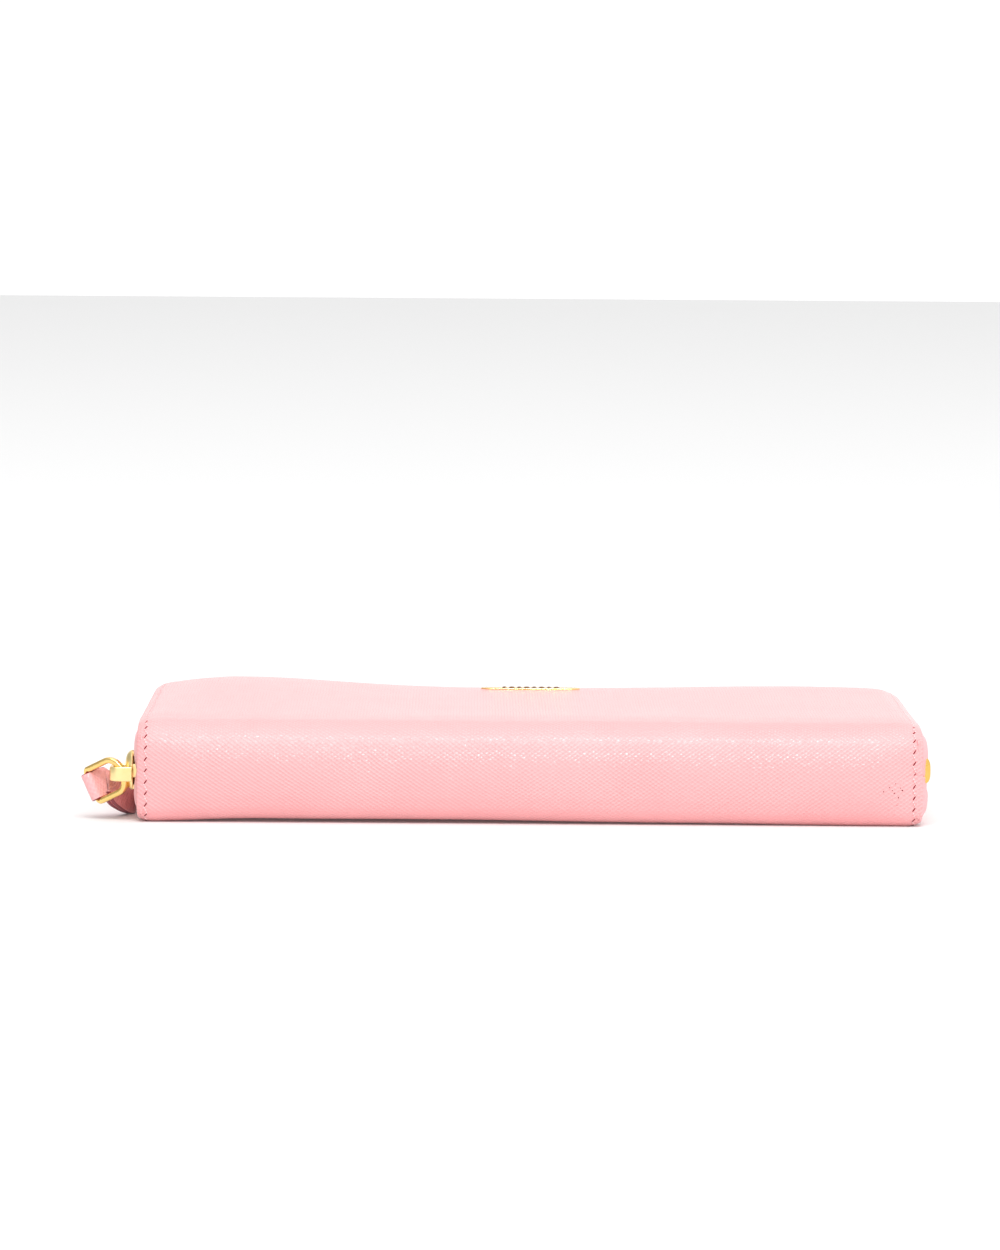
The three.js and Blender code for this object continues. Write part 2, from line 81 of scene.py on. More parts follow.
back_low, back_high = node_box("leather_back_panel")
_, front_high = node_box("leather_front_panel")
HALF = back_high[0]
SPINE_Y = back_low[1]
FAR_Y = back_high[1]
HEIGHT = front_high[2]
MID = HEIGHT / 2
CORNER = 12.0  # radius of the covers' far corners
LEATHER = 1.25  # thickness of the outer leather

# ---- camera ----------------------------------------------------------------------------
CAMERA_X, CAMERA_BACK, CAMERA_UP = -13.8, 1528.0, 163.0  # millimetres, back from the spine
CAMERA_PITCH, CAMERA_YAW, CAMERA_ROLL = -4.244, -0.23, 0.40  # degrees
scene = bpy.context.scene
camera_data = bpy.data.cameras.new("camera")
camera_data.sensor_fit = "AUTO"
camera_data.sensor_width = 36.0
camera_data.lens = 178.7
camera = bpy.data.objects.new("camera", camera_data)
scene.collection.objects.link(camera)
scene.camera = camera
camera.location = Vector((CAMERA_X, SPINE_Y - CAMERA_BACK, CAMERA_UP)) * MM
camera.rotation_mode = "QUATERNION"
camera.rotation_quaternion = (
    Matrix.Rotation(math.radians(CAMERA_YAW), 4, "Z")
    @ Matrix.Rotation(math.radians(90 + CAMERA_PITCH), 4, "X")
    @ Matrix.Rotation(math.radians(CAMERA_ROLL), 4, "Z")
).to_quaternion()
camera_data.clip_start = 0.05
camera_data.clip_end = 20.0

# ---- node helpers ----------------------------------------------------------------------
def material(name):
    """A new material, its node tree and its shader."""
    made = bpy.data.materials.new(name)
    made.use_nodes = True
    tree = made.node_tree
    return made, tree, tree.nodes["Principled BSDF"]


class Graph:
    """Short calls for building a node tree."""

    def __init__(self, tree):
        self.tree = tree

    def node(self, kind, **settings):
        made = self.tree.nodes.new(kind)
        for key, value in settings.items():
            setattr(made, key, value)
        return made

    def link(self, source, target):
        self.tree.links.new(source, target)

    def feed(self, socket, value):
        if hasattr(value, "is_linked"):
            self.link(value, socket)
        else:
            socket.default_value = value

    def math(self, operation, a, b=0.0, c=0.0):
        made = self.node("ShaderNodeMath", operation=operation)
        for socket, value in zip(made.inputs, (a, b, c)):
            self.feed(socket, value)
        return made.outputs[0]

    def ramp(self, value, low, high, to_low=0.0, to_high=1.0):
        made = self.node("ShaderNodeMapRange", interpolation_type="SMOOTHSTEP")
        for socket, item in zip(made.inputs, (value, low, high, to_low, to_high)):
            self.feed(socket, item)
        return made.outputs[0]

    def noise(self, vector, scale, detail=2.0, roughness=0.5):
        made = self.node("ShaderNodeTexNoise")
        self.link(vector, made.inputs["Vector"])
        made.inputs["Scale"].default_value = scale
        made.inputs["Detail"].default_value = detail
        made.inputs["Roughness"].default_value = roughness
        return made.outputs["Fac"]

    def mix(self, factor, a, b):
        made = self.node("ShaderNodeMix", data_type="RGBA")
        self.feed(made.inputs["Factor"], factor)
        self.feed(made.inputs["A"], a)
        self.feed(made.inputs["B"], b)
        return made.outputs["Result"]

    def bump(self, height, distance):
        made = self.node("ShaderNodeBump")
        made.inputs["Strength"].default_value = 1.0
        made.inputs["Distance"].default_value = distance
        self.link(height, made.inputs["Height"])
        return made.outputs["Normal"]

    def split(self, vector):
        made = self.node("ShaderNodeSeparateXYZ")
        self.link(vector, made.inputs[0])
        return made.outputs[0], made.outputs[1], made.outputs[2]

    def place(self):
        """The point's own place on the object, in metres."""
        return self.node("ShaderNodeTexCoord").outputs["Object"]

    def hide_map(self):
        """The UV map 'hide', in metres along and across the material."""
        return self.node("ShaderNodeUVMap", uv_map="hide").outputs["UV"]

    def wave(self, value, turns):
        """A sine wave from 0 to 1, with turns in radians per metre."""
        sine = self.math("SINE", self.math("MULTIPLY", value, turns))
        return self.math("MULTIPLY_ADD", sine, 0.5, 0.5)


def rgba(r, g, b):
    """A linear colour from sRGB numbers of 0 to 255."""

    def linear(v):
        v /= 255.0
        return v / 12.92 if v <= 0.04045 else ((v + 0.055) / 1.055) ** 2.4

    return (linear(r), linear(g), linear(b), 1.0)


# ---- light -----------------------------------------------------------------------------
SKY_LEFT, SKY_MAIN = 0.45, 1.08  # strength from the far left, and from the middle and the right
SKY_RISES = (-0.85, -0.15)  # the x of the direction where the strength starts and stops rising
LAMP_AIM = (0.03, -0.05, 0.02)
scene.view_settings.view_transform = "Standard"
world = bpy.data.worlds.new("studio")
scene.world = world
world.use_nodes = True
sky = Graph(world.node_tree)
background = world.node_tree.nodes["Background"]
background.inputs["Color"].default_value = (1, 1, 1, 1)
east, _, _ = sky.split(sky.node("ShaderNodeTexCoord").outputs["Generated"])
sky.link(sky.ramp(east, *SKY_RISES, SKY_LEFT, SKY_MAIN), background.inputs["Strength"])


def softbox(name, place, target, size, power):
    """An area lamp. Places and sizes in metres, power in watts."""
    data = bpy.data.lights.new(name, "AREA")
    data.shape = "RECTANGLE"
    data.size = size[0]
    data.size_y = size[1]
    data.energy = power
    lamp = bpy.data.objects.new(name, data)
    scene.collection.objects.link(lamp)
    lamp.location = place
    aim = Vector(target) - Vector(place)
    lamp.rotation_mode = "QUATERNION"
    lamp.rotation_quaternion = aim.to_track_quat("-Z", "Y")
    return lamp


softbox("key_softbox", (0.1, -2.3, 4.0), (0, 0, 0), (3.2, 2.4), 114.0)
softbox("front_fill", (0.08, -1.25, 1.0), LAMP_AIM, (0.16, 0.08), 1.5)
spark_lamp = softbox("spark_lamp", (0.08, -1.25, 0.93), LAMP_AIM, (0.5, 0.06), 6.5)
spark_lamp.visible_diffuse = False  # it only makes glints on the coated leather

# ---- leather and thread ----------------------------------------------------------------
HIDE_PINK = rgba(249, 179, 180)
# painted shade: the darker colour that the grain's hollows get, so the ridges look lit
HIDE_HOLLOW_SHADE = rgba(245, 166, 168)
GRAIN_PITCH = 0.86  # millimetres between parallel lines of the pressed grain
GRAIN_WAVER = 0.55  # millimetres that a line strays
GRAIN_TILT = math.radians(35)
FACET_WAVER = 0.13  # millimetres of unevenness over the small flat faces between the lines


def grained_leather(name, pink, shade, depth, facet):
    """Coated leather pressed with two crossing sets of fine lines, depth millimetres deep. facet is
    the slope of the small shiny faces between the lines, or 0 for a coat that follows the lines."""
    made, tree, shader = material(name)
    g = Graph(tree)
    uv = g.hide_map()
    place = g.place()
    u, v, _ = g.split(uv)
    stray = g.math("SUBTRACT", g.noise(uv, 170.0, 3.0), 0.5)
    stray = g.math("MULTIPLY", stray, GRAIN_WAVER * MM)
    pitch = GRAIN_PITCH * MM

    def across(sign):
        """Distance across one set of lines."""
        run = g.math("MULTIPLY", u, math.sin(GRAIN_TILT))
        rise = g.math("MULTIPLY", v, sign * math.cos(GRAIN_TILT))
        return g.math("ADD", g.math("ADD", run, rise), stray)

    def lines(sign):
        ridge = g.math("ABSOLUTE", g.wave(across(sign), 2 * math.pi / pitch))
        return g.math("POWER", ridge, 1.7)

    def slopes(sign):
        return g.math("PINGPONG", across(sign), pitch / 2)

    first = lines(-1.0)
    second = lines(1.0)
    cloudy = g.math("MULTIPLY_ADD", g.noise(place, 14.0, 1.0), 0.2, u)
    drift = g.ramp(cloudy, 0.0, 0.2, 0.4, 0.66)
    second_part = g.math("MULTIPLY", second, g.math("SUBTRACT", 1.0, drift))
    ridges = g.math("ADD", g.math("MULTIPLY", first, drift), second_part)
    weak = g.ramp(g.noise(uv, 60.0, 2.0), 0.35, 0.65, 0.6, 1.0)
    pressed = g.math("MULTIPLY", ridges, weak)
    pores = g.noise(uv, 2400.0, 2.0)
    height = g.math("MULTIPLY_ADD", pores, 0.16, pressed)
    mottling = g.ramp(g.noise(place, 55.0, 3.0), 0.35, 0.7)
    mottling = g.math("MULTIPLY_ADD", mottling, 0.35, 0.65)
    # painted shade in the grain's hollows, mixed with the leather's own random mottling
    hollow_shade = g.math("MULTIPLY_ADD", g.ramp(pressed, 0.0, 0.55), 0.6, 0.4)
    g.link(g.mix(g.math("MULTIPLY", mottling, hollow_shade), shade, pink), shader.inputs["Base Color"])
    tips = g.math("MULTIPLY", first, second)
    shine = g.ramp(tips, 0.25, 0.85, 0.6, 0.26)
    scuffs = g.math("MULTIPLY", g.ramp(g.noise(place, 90.0, 4.0), 0.5, 0.8), 0.08)
    g.link(g.math("ADD", shine, scuffs), shader.inputs["Roughness"])
    relief = g.bump(height, depth * MM)
    g.link(relief, shader.inputs["Normal"])
    if facet:
        facets = g.math("MULTIPLY", g.math("ADD", slopes(-1.0), slopes(1.0)), facet)
        unevenness = g.math("MULTIPLY", g.noise(uv, 1100.0, 1.0), FACET_WAVER * MM)
        relief = g.bump(g.math("ADD", facets, unevenness), 1.0)
    g.link(relief, shader.inputs["Coat Normal"])
    shader.inputs["Specular IOR Level"].default_value = 0.3
    shader.inputs["Coat Weight"].default_value = 0.75
    shader.inputs["Coat Roughness"].default_value = 0.17
    shader.inputs["Coat IOR"].default_value = 1.4
    return made


HIDE = grained_leather("hide_pink", HIDE_PINK, HIDE_HOLLOW_SHADE, 0.15, 0.14)
# a copy of the hide painted a touch lighter, a painted highlight for the strap's fold at the ring
STRAP_HIDE_PAINTED_LIGHTER = grained_leather("hide_strap", rgba(250, 184, 185), rgba(243, 168, 170), 0.1, 0.0)


def thread_material():
    """Twisted thread, lighter where a ply comes up."""
    made, tree, shader = material("thread_pink")
    g = Graph(tree)
    along, around, _ = g.split(g.hide_map())
    twist = g.math("ADD", g.math("MULTIPLY", along, 9000.0), g.math("MULTIPLY", around, 6.28))
    ply = g.math("MULTIPLY_ADD", g.math("SINE", twist), 0.5, 0.5)
    g.link(g.mix(ply, rgba(236, 168, 170), rgba(253, 218, 219)), shader.inputs["Base Color"])
    g.link(g.bump(ply, 0.06 * MM), shader.inputs["Normal"])
    shader.inputs["Roughness"].default_value = 0.55
    return made


THREAD = thread_material()


def plain(name, color, roughness, specular=0.5):
    """A matt colour, a little uneven."""
    made, tree, shader = material(name)
    g = Graph(tree)
    place = g.place()
    spot = g.ramp(g.noise(place, 400.0, 3.0), 0.3, 0.7, 0.86, 1.0)
    dark = tuple(c * 0.75 for c in color[:3]) + (1.0,)
    g.link(g.mix(spot, dark, color), shader.inputs["Base Color"])
    g.link(g.bump(g.noise(place, 2500.0, 2.0), 0.04 * MM), shader.inputs["Normal"])
    shader.inputs["Roughness"].default_value = roughness
    shader.inputs["Specular IOR Level"].default_value = specular
    return made


# painted shade: the stitch slits are coloured dark as the shade inside the holes
NEEDLE_HOLE_SHADE = plain("needle_hole_painted_shade", rgba(126, 22, 38), 0.7, specular=0.05)


# ---- mesh helpers ----------------------------------------------------------------------
def mesh_object(name, points, faces, paint, uvs=None, smooth=True):
    """points in millimetres; uvs are one (u, v) per point, in millimetres."""
    data = bpy.data.meshes.new(name)
    data.from_pydata([tuple(float(c) * MM for c in p) for p in points], [], faces)
    data.validate()
    if uvs is not None:
        layer = data.uv_layers.new(name="hide")
        table = np.asarray(uvs, float) * MM
        index = np.zeros(len(data.loops), int)
        data.loops.foreach_get("vertex_index", index)
        layer.data.foreach_set("uv", table[index].astype(np.float32).ravel())
    data.polygons.foreach_set("use_smooth", [smooth] * len(data.polygons))
    data.materials.append(paint)
    made = bpy.data.objects.new(name, data)
    scene.collection.objects.link(made)
    return made


def grid_normals(grid):
    """The unit normal at each point, along its row x towards the next row."""
    du = np.gradient(grid, axis=1)
    dv = np.gradient(grid, axis=0)
    n = np.cross(du, dv)
    return n / np.maximum(np.linalg.norm(n, axis=2, keepdims=True), 1e-9)


def sharpen(made, corners):
    """Keeps the shading from turning round the edges between these vertices."""
    data = made.data
    flags = [e.vertices[0] in corners and e.vertices[1] in corners for e in data.edges]
    layer = data.attributes.new("sharp_edge", "BOOLEAN", "EDGE")
    layer.data.foreach_set("value", flags)


def sheet_solid(name, grid, uv, thickness, paint, flip=False, rim_steps=5, plain_end=False):
    """A sheet with a half-round rim. grid is rows by columns of points on its outer face, and flip
    turns its normal, which has to point outwards. With plain_end, the first row has no rim,
    because it meets another sheet there."""
    rows, cols = grid.shape[:2]
    normal = grid_normals(grid)
    if flip:
        normal = -normal
    points = [grid.reshape(-1, 3), (grid - normal * thickness).reshape(-1, 3)]
    uvs = [uv.reshape(-1, 2), uv.reshape(-1, 2)]
    total = rows * cols
    faces = []

    def quad(a, b, c, d):
        faces.append((d, c, b, a) if flip else (a, b, c, d))

    for i in range(rows - 1):
        for j in range(cols - 1):
            a = i * cols + j
            quad(a, a + 1, a + cols + 1, a + cols)
            quad(total + a, total + a + cols, total + a + cols + 1, total + a + 1)
    path = [(i, 0) for i in range(rows)]
    path += [(rows - 1, j) for j in range(1, cols)]
    path += [(i, cols - 1) for i in range(rows - 2, -1, -1)]
    if not plain_end:
        path += [(0, j) for j in range(cols - 2, 0, -1)]
    edge = np.array([grid[p] for p in path])
    edge_uv = np.array([uv[p] for p in path])
    edge_n = np.array([normal[p] for p in path])
    if plain_end:
        ahead = np.gradient(edge, axis=0)
    else:
        ahead = np.roll(edge, -1, 0) - np.roll(edge, 1, 0)
    out = np.cross(ahead, edge_n)
    out /= np.maximum(np.linalg.norm(out, axis=1, keepdims=True), 1e-9)
    centre_of_grid = grid[rows // 2, cols // 2]
    if np.mean(np.sum(out * (edge - centre_of_grid), axis=1)) < 0:
        out = -out
    radius = thickness / 2
    rings = [[p[0] * cols + p[1] for p in path]]
    count = 2 * total
    for k in range(1, rim_steps):
        angle = math.pi / 2 - math.pi * k / rim_steps
        ring = edge - edge_n * radius
        ring = ring + out * (radius * math.cos(angle)) + edge_n * (radius * math.sin(angle))
        points.append(ring)
        uvs.append(edge_uv)
        rings.append([count + step for step in range(len(path))])
        count += len(path)
    rings.append([total + p[0] * cols + p[1] for p in path])
    last = len(path) - 1 if plain_end else len(path)
    for near, far in zip(rings, rings[1:]):
        for k in range(last):
            k2 = (k + 1) % len(path)
            quad(near[k], near[k2], far[k2], far[k])
    if plain_end:
        left = [r[0] for r in rings]
        right = [r[-1] for r in rings]
        for j in range(cols - 1):
            quad(j + 1, j, total + j, total + j + 1)
        faces.append(tuple(left) if flip else tuple(reversed(left)))
        faces.append(tuple(reversed(right)) if flip else tuple(right))
    made = mesh_object(name, np.concatenate(points), faces, paint, np.concatenate(uvs))
    if plain_end:
        end_face = set(range(cols)) | {total + j for j in range(cols)} | set(left) | set(right)
        sharpen(made, end_face)
    return made


def arc(cx, cy, radius, start, end, count):
    """Points on a circle from one angle to another, in degrees."""
    angles = np.radians(np.linspace(start, end, count))
    return [(cx + radius * math.cos(a), cy + radius * math.sin(a)) for a in angles]


def distances(line):
    """How far along a line of points each point lies."""
    gaps = np.linalg.norm(np.diff(line, axis=0), axis=1)
    return np.concatenate([[0], np.cumsum(gaps)])


def unit(v):
    v = np.asarray(v, float)
    return v / np.maximum(np.linalg.norm(v, axis=-1, keepdims=True), 1e-12)


def tube_faces(first, rings, around, flip=False):
    """Side and end faces for rings of points that start at number first."""
    faces = []
    for k in range(rings - 1):
        for m in range(around):
            a = first + k * around + m
            b = first + k * around + (m + 1) % around
            faces.append((a, a + around, b + around, b) if flip else (a, b, b + around, a + around))
    near = tuple(range(first, first + around))
    far = tuple(range(first + (rings - 1) * around, first + rings * around))
    faces += [near, far[::-1]] if flip else [near[::-1], far]
    return faces


def face_outwards(made):
    """Turns every face of a closed mesh outwards."""
    mesh = bmesh.new()
    mesh.from_mesh(made.data)
    bmesh.ops.recalc_face_normals(mesh, faces=mesh.faces)
    mesh.to_mesh(made.data)
    mesh.free()


def stands_for(piece, body, node):
    """The piece rides the body and replaces the CAD node."""
    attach(piece, body)
    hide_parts(node)


# ---- outer leather ---------------------------------------------------------------------
def smooth(t):
    """An even step from 0 to 1, without corners."""
    t = np.clip(t, 0.0, 1.0)
    return t * t * (3 - 2 * t)


class Shell:
    """One half of the outer leather: up the spine from its middle, over a soft fold and out to
    the far edge. A point is (x, s), where s is the distance along the leather."""

    def __init__(self, upper, fold):
        self.upper = upper
        self.fold = fold
        self.rise = MID - fold  # straight part of the spine
        self.turn = fold * math.pi / 2
        self.run = FAR_Y - (SPINE_Y + fold)
        self.length = self.rise + self.turn + self.run

    def profile(self, s):
        """(y, z above the middle, normal y, normal z) for the upper half."""
        s = np.asarray(s, float)
        angle = np.clip((s - self.rise) / self.fold, 0, math.pi / 2)
        y = SPINE_Y + self.fold * (1 - np.cos(angle)) + np.maximum(s - self.rise - self.turn, 0)
        z = np.minimum(s, self.rise) + self.fold * np.sin(angle)
        return y, z, -np.cos(angle), np.sin(angle)

    def edge_distance(self, x, s):
        far = self.length - s
        side = HALF - np.abs(x)
        corner = CORNER - np.hypot(CORNER - side, CORNER - far)
        inside = (side < CORNER) & (far < CORNER)
        return np.where(inside, corner, np.minimum(side, far))

    def lift(self, x, s):
        """How far the surface stands out from the plain profile."""
        y = self.profile(s)[0]
        d = self.edge_distance(x, s)
        back = smooth((y - SPINE_Y) / (FAR_Y - SPINE_Y))
        on_face = 1 - smooth((s - self.rise) / self.turn)
        right = smooth(x / HALF * 2 - 1)
        # the edges roll down, more so at the upper right
        if self.upper:
            droop = 1.5 + right * (0.4 + 0.5 * back)
            width = 4.2 + right * (1.4 + 1.0 * back)
        else:
            droop = 1.2
            width = 4.0
        droop = droop * (1 - 0.45 * on_face)
        roll = droop * np.clip(1 - d / width, 0, 1) ** 2
        far_roll = 0.4 * (1 - smooth((FAR_Y - y) / 13.0)) * (1 - on_face)
        # the top swells at the back left and the right, and dips a little in the middle
        swell = 0.0
        if self.upper:
            spread = np.where(x < -75, 20.0, 33.0)
            swell = 2.7 * np.exp(-(((x + 75) / spread) ** 2)) * smooth((y - SPINE_Y - 12) / 80)
            swell = swell + 1.0 * np.exp(-(((x - 66) / 34) ** 2)) * smooth((y + 30) / 70)
            swell = swell - 0.25 * np.exp(-(((x - 5) / 40) ** 2 + ((y + 12) / 22) ** 2))
        ripple = 0.10 * np.sin(x / 13.0 + 0.7) * np.sin(s / 17.0 + x / 61.0)
        # the spine is full in the middle and flat at its ends
        reach = self.rise + self.turn / 2
        bulge = 1.7 * (1 - (s / reach) ** 2)
        bulge = bulge * (1 - smooth((s - 0.7 * self.rise) / (0.3 * self.rise + self.turn)))
        bulge = bulge * (0.3 + 0.7 * smooth((HALF - np.abs(x)) / 14.0))
        # the upper fold has settled
        settle = 0.0
        if self.upper:
            settle = 0.7 * (1 - smooth((s - self.rise - self.turn * 0.6) / 13.0))
            settle = settle * smooth((s - 0.5 * self.rise) / self.turn)
        return swell + ripple + bulge - roll - far_roll - settle

    def point(self, x, s):
        x = np.asarray(x, float)
        s = np.asarray(s, float)
        y, z, ny, nz = self.profile(s)
        h = self.lift(x, s)
        y = y + ny * h
        z = z + nz * h
        if self.upper:
            z = MID + z
        else:
            z = MID - z
            # the bottom edge bows up between the ends of the spine
            bow = 0.85 * smooth((x + 97) / 30) * (1 - smooth((x + 20) / 100))
            z = z + bow * (1 - smooth((y - SPINE_Y) / 34)) * smooth((MID - z) / MID * 1.15)
        return np.stack([x, y, z], -1)

    def outward(self, x, s, step=0.05):
        along = self.point(x + step, s) - self.point(x - step, s)
        up = self.point(x, s + step) - self.point(x, s - step)
        n = np.cross(along, up)
        if not self.upper:
            n = -n
        return n / np.linalg.norm(n, axis=-1, keepdims=True)

    def grid(self, inset, across=110, front=26, along=62, corner=9):
        """Rows and columns of (x, s), with the two far corners rounded."""
        half = HALF - inset
        length = self.length - inset
        r = CORNER - inset
        quarter = np.linspace(0, math.pi / 4, corner + 1)
        share = r * math.sin(math.pi / 4)
        inner = np.linspace(-(half - share), half - share, across)
        left = -half + share * np.linspace(0, 1, corner + 1)
        bottom = np.concatenate([left[:-1], inner, -left[:-1][::-1]])
        # the far row: half of each corner's arc and the straight part between them
        arc_x = -(half - r) - r * np.sin(math.pi / 4 - quarter)
        arc_s = (length - r) + r * np.cos(math.pi / 4 - quarter)
        span = np.linspace(-(half - r), half - r, across)
        top_x = np.concatenate([arc_x[:-1], span, -arc_x[:-1][::-1]])
        top_s = np.concatenate([arc_s[:-1], np.full(across, length), arc_s[:-1][::-1]])
        start = self.rise + self.turn
        low = np.linspace(0, start, front + 1)
        straight = np.linspace(start, length - r, along)
        side_s = np.concatenate([straight, (length - r) + r * np.sin(quarter[1:])])
        side_x = np.concatenate([np.full(along, half), (half - r) + r * np.cos(quarter[1:])])
        t = (side_s - start) / (side_s[-1] - start)
        # shares along the bottom row, used for both x and s
        u = (bottom + half) / (2 * half)
        xs = [bottom for _ in low[:-1]]
        ss = [np.full_like(bottom, k) for k in low[:-1]]
        for k, tk in enumerate(t):
            plain_x = (1 - tk) * bottom + tk * top_x
            ends_x = (1 - u) * -side_x[k] + u * side_x[k]
            corner_x = (1 - tk) * ((1 - u) * -half + u * half)
            corner_x = corner_x + tk * ((1 - u) * top_x[0] + u * top_x[-1])
            xs.append(plain_x + ends_x - corner_x)
            plain_s = (1 - tk) * start + tk * top_s
            ss.append(plain_s + side_s[k] - ((1 - tk) * start + tk * top_s[0]))
        return np.array(xs), np.array(ss)

    def outline(self, inset, step):
        """Points along the three zip sides, inset from the edge, with their headings in (x, s)."""
        half = HALF - inset
        length = self.length - inset
        r = CORNER - inset

        def side(a, b):
            a, b = np.array(a), np.array(b)
            count = max(2, int(np.linalg.norm(b - a) / 2))
            return [tuple(a + (b - a) * q) for q in np.linspace(0, 1, count)]

        line = side((-half, 0.0), (-half, length - r))
        line += arc(-(half - r), length - r, r, 180, 90, 24)[1:-1]
        line += side((-(half - r), length), (half - r, length))
        line += arc(half - r, length - r, r, 90, 0, 24)[1:-1]
        line += side((half, length - r), (half, 0.0))
        line = np.array(line)
        reach = distances(line)
        count = int(round(reach[-1] / step))
        spots = (np.arange(count) + 0.5) * reach[-1] / count

        def at(spot):
            return np.interp(spot, reach, line[:, 0]), np.interp(spot, reach, line[:, 1])

        x, s = at(spots)
        ahead_x, ahead_s = at(spots + 0.2)
        behind_x, behind_s = at(spots - 0.2)
        return x, s, np.arctan2(ahead_s - behind_s, ahead_x - behind_x)


UPPER = Shell(True, 6.2)
LOWER = Shell(False, 4.0)
RIM = LEATHER / 2


def build_shell(shell, name):
    xs, ss = shell.grid(RIM)
    uv = np.stack([xs, ss if shell.upper else -ss], -1)
    flip = not shell.upper
    return sheet_solid(name, shell.point(xs, ss), uv, LEATHER, HIDE, flip, plain_end=True)


hide_upper = build_shell(UPPER, "hide_upper")
hide_lower = build_shell(LOWER, "hide_lower")


def build_spine_turn(side):
    """The spine leather's end, folded inwards behind its edge."""
    rows, cols = 30, 8
    grid = np.zeros((rows, cols, 3))
    for i, z in enumerate(np.linspace(2.2, HEIGHT - 4.6, rows)):
        for j in range(cols):
            q = j / (cols - 1)
            grid[i, j] = (side * (HALF - 0.95 - 0.2 * q * q), SPINE_Y + 0.55 + 2.2 * q, z)
    name = "spine_turn_right" if side > 0 else "spine_turn_left"
    made = sheet_solid(name, grid, grid[:, :, [1, 2]], 0.8, HIDE, side < 0, rim_steps=3)
    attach(made, "spine")


build_spine_turn(-1)
build_spine_turn(1)

# ---- stitching -------------------------------------------------------------------------
STITCH_PITCH = 2.85
STITCH_INSET = 2.4
STITCH_LEAN = math.radians(24)
STITCH_PART = 0.36  # half a stitch's length, as a part of the pitch
THREAD_RADIUS = 0.2
SLIT_LEAN = math.radians(54)
SLIT_HALF = 0.56
SLIT_RADIUS = 0.16


def capsule(points, faces, uvs, start, end, radius, up, bow=0.0):
    """Adds a short thread, thickest in the middle, from start to end. up points out of the leather,
    and bow is how far the thread's middle stands up."""
    sides, rounds = 7, 5
    axis = end - start
    length = np.linalg.norm(axis)
    axis = axis / length
    side = np.cross(axis, up)
    side /= np.linalg.norm(side)
    first = len(points)
    for k in range(rounds):
        q = k / (rounds - 1)
        swell = radius * (0.35 + 0.65 * math.sin(math.pi * (0.12 + 0.76 * q)))
        centre = start + axis * length * q + up * (bow * math.sin(math.pi * q))
        for m in range(sides):
            a = 2 * math.pi * m / sides
            points.append(centre + side * (swell * math.cos(a)) + up * (swell * math.sin(a)))
            uvs.append((length * q, m / sides))
    faces += tube_faces(first, rounds, sides, flip=True)


def stitch_row(shell, name):
    """Thread along the three zip sides, and the slits that it goes through, painted dark as the shade
    inside them.
    """
    x, s, heading = shell.outline(STITCH_INSET, STITCH_PITCH)
    last = len(x) - 1
    points, faces, uvs = [], [], []
    slit_shade, slit_shade_faces = [], []
    sign = 1 if shell.upper else -1
    for k, (xi, si, turn) in enumerate(zip(x, s, heading)):
        lean = turn + sign * STITCH_LEAN
        half = STITCH_PITCH * STITCH_PART
        a = shell.point(xi - half * math.cos(lean), si - half * math.sin(lean))
        b = shell.point(xi + half * math.cos(lean), si + half * math.sin(lean))
        up = shell.outward(xi, si)
        sink = up * (0.02 + 0.15 * smooth((a[1] - SPINE_Y - 2.0) / 5.0))
        capsule(points, faces, uvs, a - sink, b - sink, THREAD_RADIUS, up, bow=0.1)
        # a slit after each stitch; the upper row has one before its first stitch too, and the
        # lower row none after its last
        dx = SLIT_HALF * math.cos(SLIT_LEAN)
        ds = sign * SLIT_HALF * math.sin(SLIT_LEAN)
        ways = [1]
        if shell.upper and k == 0:
            ways = [-1, 1]
        if k == last and not shell.upper:
            ways = []
        for way in ways:
            mid_x = xi + way * STITCH_PITCH / 2 * math.cos(turn)
            mid_s = si + way * STITCH_PITCH / 2 * math.sin(turn)
            up2 = shell.outward(mid_x, mid_s)
            c = shell.point(mid_x - dx, mid_s - ds)
            sink = up2 * (0.2 * smooth((c[1] - SPINE_Y - 2.0) / 5.0))
            d = shell.point(mid_x + dx, mid_s + ds)
            capsule(slit_shade, slit_shade_faces, [], c - sink, d - sink, SLIT_RADIUS, up2)
    row = mesh_object(name, points, faces, THREAD, uvs)
    return row, mesh_object(name + "_slits", slit_shade, slit_shade_faces, NEEDLE_HOLE_SHADE)


stitch_upper, slits_upper = stitch_row(UPPER, "stitching_upper")
stitch_lower, slits_lower = stitch_row(LOWER, "stitching_lower")


def bend_upper(*pieces):
    for piece in pieces:
        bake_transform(piece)


def bend_lower(*pieces):
    for piece in pieces:
        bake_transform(piece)


bend_upper(hide_upper, stitch_upper, slits_upper)
bend_lower(hide_lower, stitch_lower, slits_lower)
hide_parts("leather_front_panel")
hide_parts("leather_back_panel", "leather_spine")

# ---- swept pieces ----------------------------------------------------------------------
def rounded_section(width, thick, radius, steps=3):
    """A closed rounded rectangle, width along its first axis."""
    radius = min(radius, width / 2 - 1e-3, thick / 2 - 1e-3)
    across, up = width / 2 - radius, thick / 2 - radius
    out = []
    for cx, cy, start in ((1, 1, 0), (-1, 1, 90), (-1, -1, 180), (1, -1, 270)):
        out += arc(cx * across, cy * up, radius, start, start + 90, steps + 1)
    return np.array(out)


